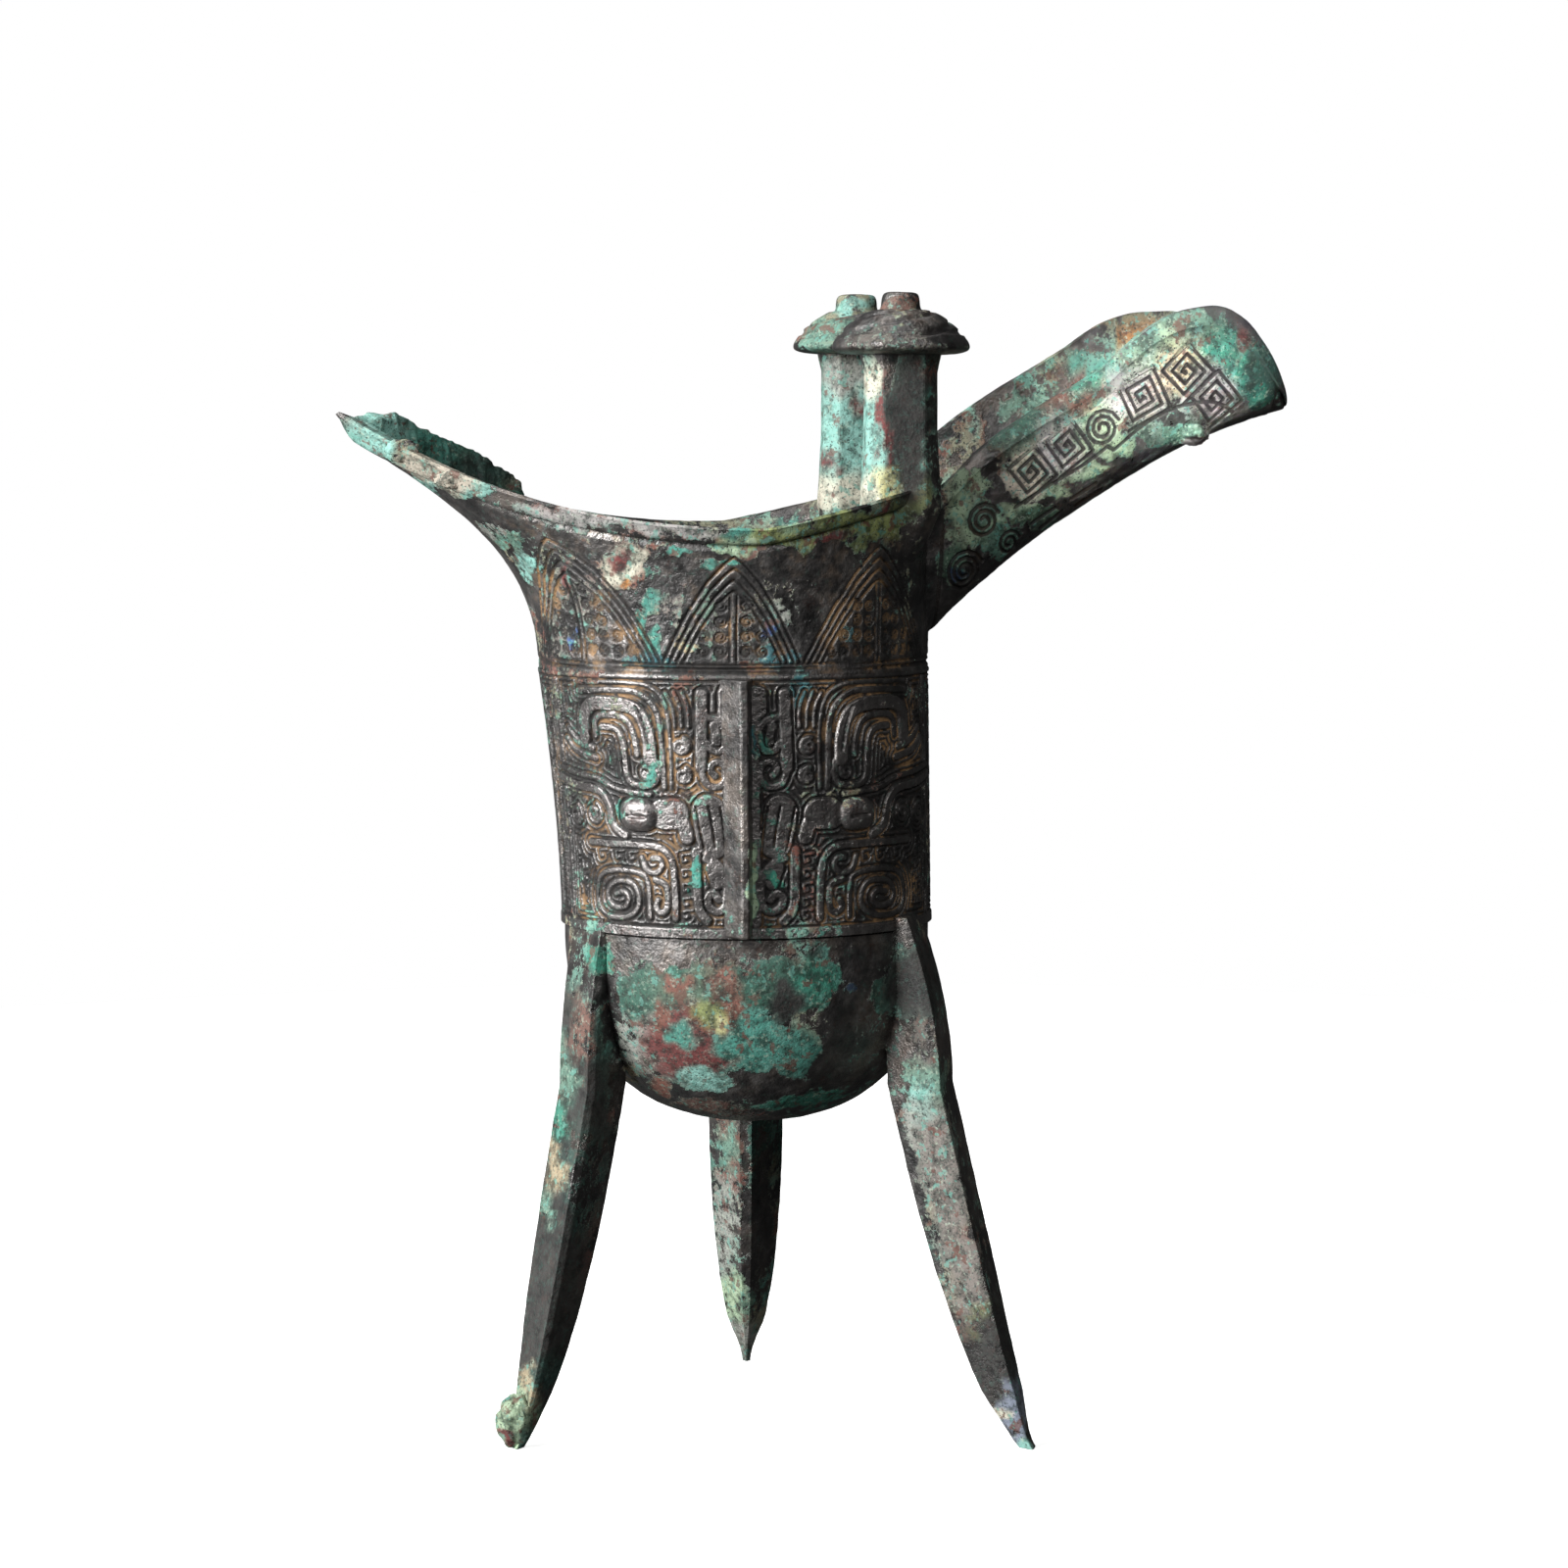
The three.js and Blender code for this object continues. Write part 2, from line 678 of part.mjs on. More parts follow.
function maskHalf(centre, side, full) {
  const place = (u, z, lift) => wallPointBeside(centre, side * u, z, lift);
  const drawn = full ? Object.keys(MASK) : ["horn", "jaw", "column"];
  const pieces = drawn.map((name) => strip(MASK[name].path, MASK[name].width, MASK[name].height, place));
  pieces.push(boss(EYE.u, EYE.z, EYE.halfU, EYE.halfZ, EYE.height, place));
  pieces.push(strip(squareSpiral(22.5, 96.6, 4.6, 2.6, 0), 1.3, 0.8, place));
  if (full) {
    pieces.push(strip(squareSpiral(32, 109, 2.6, 2.2, 2), 1.1, 0.7, place));
    pieces.push(strip(squareSpiral(32, 97, 2.6, 2.2, 1), 1.1, 0.7, place));
    pieces.push(strip(squareSpiral(22.5, 120.6, 3, 2.4, 3), 1.2, 0.7, place));
  }
  return pieces;
}

// Rising blades on the neck
function blade(centre) {
  const place = (u, z, lift) => wallPointBeside(centre, u, z, lift);
  const path = [
    [-BLADES.halfWidth, BLADES.base],
    [0, BLADES.apex],
    [BLADES.halfWidth, BLADES.base],
  ];
  return strip(path, 1.3, 0.6, place);
}

// Coils on both sides of the spout: distance along it, height, radius.
const SPOUT_COILS = [
  [39.5, 156.8, 3.6],
  [48.1, 164.9, 3.2],
  [53.4, 169.2, 3.2],
  [59.4, 172.2, 3.2],
  [66.4, 177.2, 3.6],
  [73.8, 181, 3.6],
  [79.7, 177.4, 3],
];

function spoutCoils() {
  const pieces = [];
  for (const side of [-1, 1]) {
    const place = (x, z, lift) => spoutSidePoint(x, z, side, lift);
    SPOUT_COILS.forEach(([x, z, radius], i) => {
      pieces.push(strip(roundSpiral(x, z, radius, 1, i * 2), 1.2, 0.6, place));
    });
  }
  return pieces;
}

// Malachite crust that stands on the back edge of the tail and breaks off at a step.
const CRUST = { thick: 2.4, inset: 1.3, from: 3, to: 35 };
const crustHeight = heightThrough([
  [3, 0.3],
  [7, 3.6],
  [11, 3.7],
  [17.5, 4.1],
  [25, 4.6],
  [28.3, 3.6],
  [35, 2.6],
]);

function crust() {
  const rings = [];
  const steps = 12;
  for (let step = 0; step <= steps; step++) {
    const angle = mix(CRUST.from, CRUST.to, step / steps);
    const at = (inset, rise) => {
      const p = rimPoint(360 - angle, inset);
      p.z += rise;
      return p;
    };
    const inner = CRUST.inset + CRUST.thick / 2;
    const outer = CRUST.inset - CRUST.thick / 2;
    const rise = crustHeight(angle);
    rings.push([
      at(inner, -2),
      at(outer + 0.6, -2),
      at(outer, rise * 0.5),
      at(outer + 0.5, rise),
      at(inner - 0.4, rise * 0.95),
      at(inner, rise * 0.5),
    ]);
  }
  return loft(rings);
}

function castCup() {
  const join = (solid, piece) => solid.add(piece);
  const filled = [spoutOutside(), ...LEGS.map(leg), footLump(), handleStrap(), handleHead(), flange()];
  const hollow = filled.reduce(join, cupOutside()).subtract(cupHollow()).subtract(spoutChannel());
  const carving = [
    ...maskHalf(FRONT, -1, true),
    ...maskHalf(FRONT, 1, true),
    ...maskHalf(BACK, -1, false),
    ...maskHalf(BACK, 1, false),
    ...spoutCoils(),
  ];
  for (let i = 0; i < BLADES.count; i++) carving.push(blade(BLADES.first + (360 / BLADES.count) * i));
  return [...POSTS.map(post), crust(), ...carving].reduce(join, hollow);
}

function meshOf(solid) {
  const { vertProperties, triVerts } = solid.getMesh();
  const geometry = new THREE.BufferGeometry();
  geometry.setAttribute("position", new THREE.BufferAttribute(vertProperties, 3));
  geometry.setIndex(new THREE.BufferAttribute(triVerts, 1));
  geometry.computeVertexNormals();
  const bronze = new THREE.MeshStandardMaterial({ color: 0x5b5a4c, roughness: 0.5, metalness: 0.7 });
  const mesh = new THREE.Mesh(geometry, bronze);
  mesh.name = "jue_cup";
  return mesh;
}

// The origin is the middle of the bounding box on the ground plane.
const cup = meshOf(castCup());
const box = new THREE.Box3().setFromObject(cup);
const middle = box.getCenter(new THREE.Vector3());
cup.position.set(-middle.x, -middle.y, -box.min.z);

const jue = new THREE.Group();
jue.add(cup);

export default jue;
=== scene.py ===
import math

import bmesh
import bpy
import numpy as np
from mathutils import Euler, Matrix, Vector


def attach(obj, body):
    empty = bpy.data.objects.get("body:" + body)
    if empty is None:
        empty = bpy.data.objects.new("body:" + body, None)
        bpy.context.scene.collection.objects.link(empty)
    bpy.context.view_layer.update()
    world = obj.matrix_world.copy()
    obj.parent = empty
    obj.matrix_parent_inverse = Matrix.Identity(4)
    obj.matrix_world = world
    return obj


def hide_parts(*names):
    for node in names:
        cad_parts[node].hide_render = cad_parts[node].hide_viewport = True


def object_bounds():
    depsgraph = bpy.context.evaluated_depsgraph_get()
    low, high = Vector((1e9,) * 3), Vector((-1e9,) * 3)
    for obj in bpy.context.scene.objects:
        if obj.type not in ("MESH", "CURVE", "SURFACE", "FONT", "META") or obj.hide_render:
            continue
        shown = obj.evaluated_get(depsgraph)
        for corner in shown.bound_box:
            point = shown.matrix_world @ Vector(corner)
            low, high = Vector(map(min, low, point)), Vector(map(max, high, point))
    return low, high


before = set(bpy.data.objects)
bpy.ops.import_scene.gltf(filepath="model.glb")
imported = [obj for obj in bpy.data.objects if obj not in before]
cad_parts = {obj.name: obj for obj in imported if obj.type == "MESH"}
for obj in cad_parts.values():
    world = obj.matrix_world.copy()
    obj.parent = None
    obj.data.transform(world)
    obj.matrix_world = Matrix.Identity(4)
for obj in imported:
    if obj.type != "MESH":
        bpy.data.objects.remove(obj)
cad_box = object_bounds()

# Sizes of the cup, in millimetres from its own upright axis, as in the part's source: +X to the spout,
# -Y to the front. ROW_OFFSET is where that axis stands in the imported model.
ROW_OFFSET = np.array([-13.2847, -8.3049, 0.0])
WALL = 2.0
# Under the bowl the wall is this many times as thick.
FLOOR_THICKER = 1.1
BOWL = {"bottom": 53.0, "top": 85.0, "roundness": 2.4, "drift": 1.5}
BAND = {"bottom": 87.5, "top": 131.5, "proud": 0.4, "bevel": 0.3, "tail_sweep": 1.6}
GIRTH_LOW = {"tail": 31.1, "spout": 31.9, "side": 28.4}
GIRTH_HIGH = {"tail": 35.0, "spout": 31.3, "side": 29.4}
RIM = {
    "half": 34.5,
    "tail_half": 36.5,
    "side_height": 156.0,
    "tail_reach": 33.2,
    "tail_taper": 2.4,
    "tail_rise": 19.2,
    "tail_sweep": 2.6,
    "spout_rise": 8.5,
    "spout_sweep": 1.1,
    "dip": 150.0,
}
LIP = {"height": 2.8, "lean": 0.8, "proud": 0.8, "tail_height": 2.8, "tail_lean": 0.7}
NECK = {"low_out": 0.02, "low_up": 0.5, "high_out": 0.43, "high_up": 0.71}
SPOUT = {
    "start": 26.0,
    "turn": 4.0,
    "root_half": 15.0,
    "root_end": 30.0,
    "root_blend": 40.0,
    "half": 14.0,
    "narrowing": 83.0,
    "tip": 96.6,
    "roundness": 2.6,
    "wall": 2.0,
    "lip": 3.5,
    "back_rise": 4.0,
    "back_from": 57.0,
    "back_to": 80.0,
}
# Distance along the spout and height, of its underside and of its upper edge
SPOUT_KEEL = [
    (26, 130),
    (32.2, 137.3),
    (38, 142.8),
    (49.8, 152.3),
    (64, 161.4),
    (76.1, 168.2),
    (88, 173.1),
    (96.6, 175.6),
]
SPOUT_EDGE = [
    (26, 158.5),
    (33, 163.6),
    (38, 168.6),
    (47, 174.9),
    (59, 182.1),
    (67, 188.8),
    (72, 191.8),
    (76, 193),
    (81, 193.3),
    (85.5, 191),
    (89.2, 187.2),
    (93, 182.2),
    (96.6, 176.6),
]
# Legs: "turn" is where a leg stands round the axis and "face" where its outer side looks, in degrees. Then
# come its distances from the axis, its width at the foot, and how broad, ridged and pointed its section is.
LEG = {"root_height": 61.0, "root_width": 11.3, "splay": 0.8, "top_height": 90.0, "top_fade": 1.8}
LEGS = {
    "left": {
        "turn": 203, "face": 203, "top": 27, "root": 30.1, "foot": 44.5,
        "foot_width": 3, "breadth": 0.45, "ridge": 0.55, "point": 0.8,
    },
    "right": {
        "turn": 328, "face": 338, "top": 28.2, "root": 34.5, "foot": 53.5,
        "foot_width": 4.2, "breadth": 0.45, "ridge": 0.6, "point": 0.7,
    },
    "back": {
        "turn": 83, "face": 83, "top": 25, "root": 27, "foot": 42,
        "foot_width": 2.7, "breadth": 0.58, "ridge": 0.6, "point": 0.4,
    },
}
FRONT = 83.6
BACK = 263.6
# Flange: how far it stands out, and its section's corners measured along the wall
FLANGE = {"proud": 3.5, "section": (-4.2, 1.9, 0.9, -0.2)}
POST = {"bottom": 157.0, "long": 12.5, "wide": 9.0, "chamfer": 2.6, "footing": 9.0}
POSTS = {
    "near": {
        "x": 24.3, "y": -18.4, "foot_x": 22.4, "foot_y": -15.8,
        "cap": 11.7, "knob": 3.2, "top": 184.6,
    },
    "far": {
        "x": 21.9, "y": 17.0, "foot_x": 21.6, "foot_y": 16.6,
        "cap": 11.3, "knob": 3.6, "top": 185.6,
    },
}
CAP_HEIGHT = 10.4
HANDLE = {"width": 9.0, "thick": 4.0, "turn": 83.0, "wall": 28.6}
ABOVE = 205.0


def mix(low, high, share):
    return low + (high - low) * share


def between(value, low, high):
    return np.clip((value - low) / (high - low), 0, 1)


def smooth(share):
    share = np.clip(share, 0, 1)
    return share * share * (3 - 2 * share)


def points(x, y, z):
    return np.stack(np.broadcast_arrays(x, y, z), axis=-1).astype(float)


def lattice_noise(place, size, seed):
    """Smooth noise from -1 to 1 with features of about the given size in millimetres."""
    table = np.random.default_rng(seed).uniform(-1, 1, (32, 32, 32))
    spot = place / size
    corner = np.floor(spot).astype(int)
    share = smooth(spot - corner)
    total = np.zeros(len(place))
    for dx in (0, 1):
        for dy in (0, 1):
            for dz in (0, 1):
                i, j, k = ((corner + (dx, dy, dz)) % 32).T
                weight = 1.0
                for axis, step in enumerate((dx, dy, dz)):
                    weight = weight * (share[:, axis] if step else 1 - share[:, axis])
                total += table[i, j, k] * weight
    return total


# The cup's skin. A ring angle runs from the tail (0) by the front (90) to the spout (180) and round.
def girth(z, inset):
    """Half widths of the cup at a height, to its tail, its spout and its sides, and where its middle is."""
    bottom = BOWL["bottom"] + inset * FLOOR_THICKER
    band = between(z, BAND["bottom"], BAND["top"])
    lift = between(z, bottom, BOWL["top"])
    swell = (1 - (1 - lift) ** BOWL["roundness"]) ** (1 / BOWL["roundness"])
    tail = (mix(GIRTH_LOW["tail"], GIRTH_HIGH["tail"], band ** BAND["tail_sweep"]) - inset) * swell
    spout = (mix(GIRTH_LOW["spout"], GIRTH_HIGH["spout"], band) - inset) * swell
    side = (mix(GIRTH_LOW["side"], GIRTH_HIGH["side"], band) - inset) * swell
    return tail, spout, side, BOWL["drift"] * (1 - lift)


def ring_point(angle, z, inset=0.0):
    """A point of the bowl or band, an inset inside the outer skin."""
    tail, spout, side, middle = girth(z, inset)
    along = np.cos(np.radians(angle))
    end = np.where(along > 0, tail, spout)
    return points(middle - end * along, -side * np.sin(np.radians(angle)), z)


def quarter_turns(angle):
    """How far round from the tail, the same on both sides: the spout is at 2."""
    turned = np.mod(angle, 360)
    return np.where(turned > 180, 360 - turned, turned) / 90


def rim_point(angle, inset=0.0):
    """A point of the rim, which sweeps up to the tail and a little to the spout."""
    along = np.cos(np.radians(angle))
    y = -(RIM["half"] - inset) * np.sin(np.radians(angle))
    quarter = quarter_turns(angle)
    to_tail = np.clip(1 - quarter, 0, 1)
    reach = (RIM["tail_reach"] - inset) * to_tail ** RIM["tail_taper"]
    tail_x = -(RIM["tail_half"] - inset) * along - reach
    tail_z = RIM["side_height"] + RIM["tail_rise"] * to_tail ** RIM["tail_sweep"]
    rise = np.sin(math.pi / 2 * np.clip(quarter - 1, 0, 1)) ** RIM["spout_sweep"]
    spout_z = RIM["side_height"] + RIM["spout_rise"] * rise
    spout_x = -(RIM["half"] - inset) * along
    on_tail = quarter < 1
    return points(np.where(on_tail, tail_x, spout_x), y, np.where(on_tail, tail_z, spout_z))


def under_lip(angle, inset=0.0):
    """A point of the lip's lower edge, which is deeper and leans out more at the tail."""
    tail = np.clip(1 - quarter_turns(angle), 0, 1) ** 3
    place = rim_point(angle, LIP["lean"] + LIP["tail_lean"] * tail + inset)
    place[..., 2] -= LIP["height"] + LIP["tail_height"] * tail
    return place


def neck_point(angle, share, inset=0.0):
    """A point of the flaring neck, a share of the way up a curve from the band to the lip."""
    angle, share = np.broadcast_arrays(np.asarray(angle, float), np.asarray(share, float))
    low = ring_point(angle, np.full(angle.shape, BAND["top"]), inset)
    high = under_lip(angle, max(inset, 0) + LIP["proud"])
    out = high - low
    rise = out[..., 2].copy()
    out[..., 2] = 0
    low_handle = low + out * NECK["low_out"]
    high_handle = low + out * NECK["high_out"]
    low_handle[..., 2] += NECK["low_up"] * rise
    high_handle[..., 2] += NECK["high_up"] * rise
    t = share[..., None]
    near_low = low * (1 - t) ** 3 + low_handle * 3 * (1 - t) ** 2 * t
    return near_low + high_handle * 3 * (1 - t) * t**2 + high * t**3


# The spout's skin, along its own line.
def height_through(knots):
    """A smooth curve through pairs of a place and its height."""
    xs = np.array([knot[0] for knot in knots], float)
    ys = np.array([knot[1] for knot in knots], float)
    before = np.maximum(np.arange(len(xs)) - 1, 0)
    after = np.minimum(np.arange(len(xs)) + 1, len(xs) - 1)
    slopes = (ys[after] - ys[before]) / (xs[after] - xs[before])

    def height(x):
        i = np.clip(np.searchsorted(xs, x, side="left") - 1, 0, len(xs) - 2)
        span = xs[i + 1] - xs[i]
        t = np.clip((x - xs[i]) / span, 0, 1)
        bend = t * (1 - t) ** 2 * slopes[i] + t**2 * (t - 1) * slopes[i + 1]
        return mix(ys[i], ys[i + 1], smooth(t)) + span * bend

    return height


keel_height = height_through(SPOUT_KEEL)
edge_height = height_through(SPOUT_EDGE)


def spout_half(x):
    along = between(x, SPOUT["root_end"], SPOUT["root_end"] + SPOUT["root_blend"])
    root = mix(SPOUT["root_half"], SPOUT["half"], along)
    past = between(x, SPOUT["narrowing"], SPOUT["tip"])
    return np.where(x < SPOUT["narrowing"], root, SPOUT["half"] * np.sqrt(1 - past**2))


def back_edge_height(x):
    """The spout's hidden edge shows over the front one in the photo, so it is higher near the cup."""
    fade = smooth(between(x, SPOUT["back_from"], SPOUT["back_to"]))
    return edge_height(x) + SPOUT["back_rise"] * (1 - fade)


def turn_spout(place):
    c, s = math.cos(math.radians(SPOUT["turn"])), math.sin(math.radians(SPOUT["turn"]))
    x, y, z = place[..., 0], place[..., 1], place[..., 2]
    return points(c * x - s * y, s * x + c * y, z)


def trough_section(x, half, floor, edges, count):
    """The round underside of the spout at a place along it, from the front edge to the back one."""
    swing = np.linspace(0, math.pi, count)
    across = np.abs(np.cos(swing)) ** (2 / SPOUT["roundness"]) * np.sign(np.cos(swing))
    down = np.abs(np.sin(swing)) ** (2 / SPOUT["roundness"])
    edge = np.where(across > 0, edges[0], edges[1])
    return turn_spout(points(x, -half * across, edge - (edge - floor) * down))


def spout_side_point(x, z, side):
    """A point of the spout's side below its lip band. The front is side -1."""
    half = spout_half(x) - LIP["proud"]
    edge = edge_height(x) if side < 0 else back_edge_height(x)
    depth = np.clip((edge - z) / (edge - keel_height(x)), 0, 1)
    across = (1 - depth ** SPOUT["roundness"]) ** (1 / SPOUT["roundness"])
    return turn_spout(points(x, side * half * across, z))


# Distance along the wall at mid height of the band, against ring angle.
RING_ANGLES = np.linspace(-200, 560, 30401)
RING = ring_point(RING_ANGLES, np.full(RING_ANGLES.shape, (BAND["bottom"] + BAND["top"]) / 2))
RUNS = np.concatenate([[0], np.cumsum(np.linalg.norm(np.diff(RING, axis=0), axis=1))])


def run_at(angle):
    return np.interp(angle, RING_ANGLES, RUNS)


def angle_at(run):
    return np.interp(run, RUNS, RING_ANGLES)


# Meshes
def clear_selection():
    if bpy.context.object and bpy.context.object.mode == "EDIT":
        bpy.ops.object.mode_set(mode="OBJECT")
    bpy.ops.object.select_all(action="DESELECT")


def pick(piece):
    clear_selection()
    piece.select_set(True)
    bpy.context.view_layer.objects.active = piece


def to_row(place):
    """Millimetres from the cup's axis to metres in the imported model."""
    return (np.asarray(place, float) + ROW_OFFSET) / 1000


def places_of(piece):
    places = np.empty(len(piece.data.vertices) * 3)
    piece.data.vertices.foreach_get("co", places)
    return places.reshape(-1, 3) * 1000 - ROW_OFFSET


def normals_of(piece):
    normals = np.empty(len(piece.data.vertices) * 3)
    piece.data.vertices.foreach_get("normal", normals)
    return normals.reshape(-1, 3)


def new_piece(name, places, faces, smooth_angle=50):
    mesh = bpy.data.meshes.new(name)
    mesh.from_pydata(to_row(places).tolist(), [], faces)
    mesh.update()
    piece = bpy.data.objects.new(name, mesh)
    bpy.context.collection.objects.link(piece)
    pick(piece)
    bpy.ops.object.mode_set(mode="EDIT")
    bpy.ops.mesh.select_all(action="SELECT")
    bpy.ops.mesh.normals_make_consistent(inside=False)
    bpy.ops.object.mode_set(mode="OBJECT")
    bpy.ops.object.shade_smooth_by_angle(angle=math.radians(smooth_angle))
    return piece


def write_layer(piece, name, values):
    """Keeps one number for each point of a piece, for the bronze to read."""
    layer = piece.data.attributes.new(name, "FLOAT", "POINT")
    layer.data.foreach_set("value", values.astype(np.float32))


def grid_faces(rows, columns, wrap=False, first=0):
    across = columns if wrap else columns - 1
    row, column = np.meshgrid(np.arange(rows - 1), np.arange(across), indexing="ij")
    following = (column + 1) % columns
    a = first + row * columns + column
    b = first + row * columns + following
    return np.stack([a, b, b + columns, a + columns], axis=-1).reshape(-1, 4).tolist()


def ring_loft(name, rings, first_hub, last_hub, smooth_angle=50):
    """A solid through rings of equal count, closed at both ends by a fan to a hub."""
    rings = np.array(rings)
    rows, columns = rings.shape[:2]
    places = np.concatenate([rings.reshape(-1, 3), [first_hub], [last_hub]])
    faces = grid_faces(rows, columns, wrap=True)
    low, high = rows * columns, rows * columns + 1
    top = (rows - 1) * columns
    for i in range(columns):
        j = (i + 1) % columns
        faces.append((low, j, i))
        faces.append((high, top + i, top + j))
    return new_piece(name, places, faces, smooth_angle)


def outward_normals(grid, centre):
    """A grid's normals, turned away from an upright line through the centre."""
    along = np.gradient(grid, axis=1)
    up = np.gradient(grid, axis=0)
    normal = np.cross(along, up)
    normal /= np.maximum(np.linalg.norm(normal, axis=-1, keepdims=True), 1e-9)
    away = grid - np.asarray(centre, float)
    away[..., 2] = 0
    turned = np.sign(np.sum(normal * away))
    return normal * turned


def rim_of(rows, columns):
    """Grid positions once round the border of a grid."""
    top = [(0, j) for j in range(columns)]
    right = [(i, columns - 1) for i in range(1, rows)]
    bottom = [(rows - 1, j) for j in range(columns - 2, -1, -1)]
    left = [(i, 0) for i in range(rows - 2, 0, -1)]
    return top + right + bottom + left


# A skin's back has one point for this many of its face's, and lies this far inside it.
BACK_EVERY = 8
SKIN_DEPTH = 1.3
SPOUT_SKIN_DEPTH = 0.9


def grid_count(length, pitch):
    """Points over a length at about a pitch, so that the coarse back meets the face's corners."""
    return BACK_EVERY * round(length / pitch / BACK_EVERY) + 1


def carved_skin(name, grid, relief, depth, centre=(0, 0, 0)):
    """A closed skin over part of the wall: a fine carved face, and a coarse back inside the wall."""
    rows, columns = relief.shape
    normal = outward_normals(grid, centre)
    face = grid + normal * relief[..., None]
    back = (grid - normal * depth)[::BACK_EVERY, ::BACK_EVERY]
    back_rows, back_columns = back.shape[:2]
    places = np.concatenate([face.reshape(-1, 3), back.reshape(-1, 3)])
    first = rows * columns
    faces = grid_faces(rows, columns)
    faces += [tuple(reversed(quad)) for quad in grid_faces(back_rows, back_columns, first=first)]
    fine = [i * columns + j for i, j in rim_of(rows, columns)]
    coarse = [first + i * back_columns + j for i, j in rim_of(back_rows, back_columns)]
    halfway = BACK_EVERY // 2
    for k, corner in enumerate(coarse):
        following = coarse[(k + 1) % len(coarse)]
        start = k * BACK_EVERY
        for step in range(BACK_EVERY):
            a = fine[(start + step) % len(fine)]
            b = fine[(start + step + 1) % len(fine)]
            faces.append((b, a, corner if step < halfway else following))
        faces.append((corner, following, fine[(start + halfway) % len(fine)]))
    piece = new_piece(name, places, faces, 60)
    height = np.concatenate([relief.reshape(-1), np.zeros(back_rows * back_columns)])
    write_layer(piece, "relief", height)
    return piece


# Carving: strokes drawn on a grid whose columns lie at u and rows at v, in millimetres. FAR stands for a
# point that no motif is near.
FAR = 99.0
STRIP_REACH = 3.0
STRIP_EDGE = 0.12
BOSS_SQUARENESS = 2.6


def near_path(u, v, path, reach):
    """Distance from each grid point to a path, worked out only near it."""
    distance = np.full(u.shape, FAR)
    for (u0, v0), (u1, v1) in zip(path, path[1:]):
        near = (u > min(u0, u1) - reach) & (u < max(u0, u1) + reach)
        near &= (v > min(v0, v1) - reach) & (v < max(v0, v1) + reach)
        if not near.any():
            continue
        du, dv = u1 - u0, v1 - v0
        length = max(du * du + dv * dv, 1e-9)
        pu, pv = u[near], v[near]
        t = np.clip(((pu - u0) * du + (pv - v0) * dv) / length, 0, 1)
        distance[near] = np.minimum(distance[near], np.hypot(pu - u0 - t * du, pv - v0 - t * dv))
    return distance


def rounded(path, passes=2):
    """Cuts the corners of a path so that it runs in curves."""
    for _ in range(passes):
        cut = [path[0]]
        for (u0, v0), (u1, v1) in zip(path, path[1:]):
            cut.append((mix(u0, u1, 0.25), mix(v0, v1, 0.25)))
            cut.append((mix(u0, u1, 0.75), mix(v0, v1, 0.75)))
        path = cut + [path[-1]]
    return path


def square_coil(u, v, half, pitch, turn):
    """A path that winds inwards in straight runs, from a corner that is turned by quarters."""
    path = []
    for corner in range(round(half / pitch * 4) + 1):
        size = half - corner * pitch / 4
        quarter = (corner + turn) % 4
        path.append((u + (1, 1, -1, -1)[quarter] * size, v + (-1, 1, 1, -1)[quarter] * size))
    return path


def round_coil(u, v, radius, turns, start, sense=1):
    """A path that winds inwards in a spiral."""
    swings = np.linspace(0, 2 * math.pi * turns, round(turns * 12) + 1)
    reach = radius * (1 - 0.8 * swings / swings[-1])
    return list(zip(u + reach * np.cos(start + sense * swings), v + reach * np.sin(start + sense * swings)))


class Carving:
    """Relief on a grid: raised motifs, lines cut round and into them, and thin lines and coils on the
    ground between. "clear" is how far each point lies from the nearest motif."""

    def __init__(self, u, v):
        self.u = u
        self.v = v
        self.raised = np.zeros(u.shape)
        self.cut = np.zeros(u.shape)
        self.clear = np.full(u.shape, FAR)
        self.coiled = np.zeros(u.shape)

    def strip(self, path, width, height):
        distance = near_path(self.u, self.v, path, width / 2 + STRIP_REACH) - width / 2
        step = smooth((STRIP_EDGE - distance) / (2 * STRIP_EDGE))
        self.raised = np.maximum(self.raised, height * step)
        self.clear = np.minimum(self.clear, distance)

    def line(self, path, width, depth):
        distance = near_path(self.u, self.v, path, width + 0.4)
        self.cut = np.maximum(self.cut, depth * smooth((width / 2 + 0.12 - distance) / 0.24))

    def boss(self, u, v, half_u, half_v, height):
        across = np.abs((self.u - u) / half_u) ** BOSS_SQUARENESS
        up = np.abs((self.v - v) / half_v) ** BOSS_SQUARENESS
        reach = (across + up) ** (1 / BOSS_SQUARENESS)
        dome = np.clip(1 - reach**3, 0, 1) ** 0.5
        self.raised = np.maximum(self.raised, np.where(reach < 1, height * dome, 0))
        self.clear = np.minimum(self.clear, (reach - 1) * min(half_u, half_v))

    def coils(self, cells, half, width, height, pitch):
        """Small square coils on the ground, well clear of the motifs."""
        for k, (u, v) in enumerate(cells):
            distance = near_path(self.u, self.v, square_coil(u, v, half, pitch, k % 4), width + 0.3)
            self.coiled = np.maximum(self.coiled, height * smooth((width / 2 + 0.1 - distance) / 0.2))

    def result(self, ground, line_height, line_step, coils_from):
        """The ground falls away beside a motif, then rises in lines at even steps from its outline."""
        phase = np.mod(self.clear / line_step, 1)
        lines = line_height * smooth((0.3 - np.abs(phase - 0.68)) / 0.16)
        far = smooth((self.clear - coils_from) / 0.3)
        low = ground + mix(lines, self.coiled, far)
        off = smooth((self.clear + 0.05) / 0.2)
        return mix(self.raised, low, off) - self.cut


def lattice(low_u, high_u, low_v, high_v, step):
    """The middles of the square cells that fill a rectangle."""
    rows = np.arange(low_v + step / 2, high_v, step)
    columns = np.arange(low_u + step / 2, high_u, step)
    return [(u, v) for v in rows for u in columns]


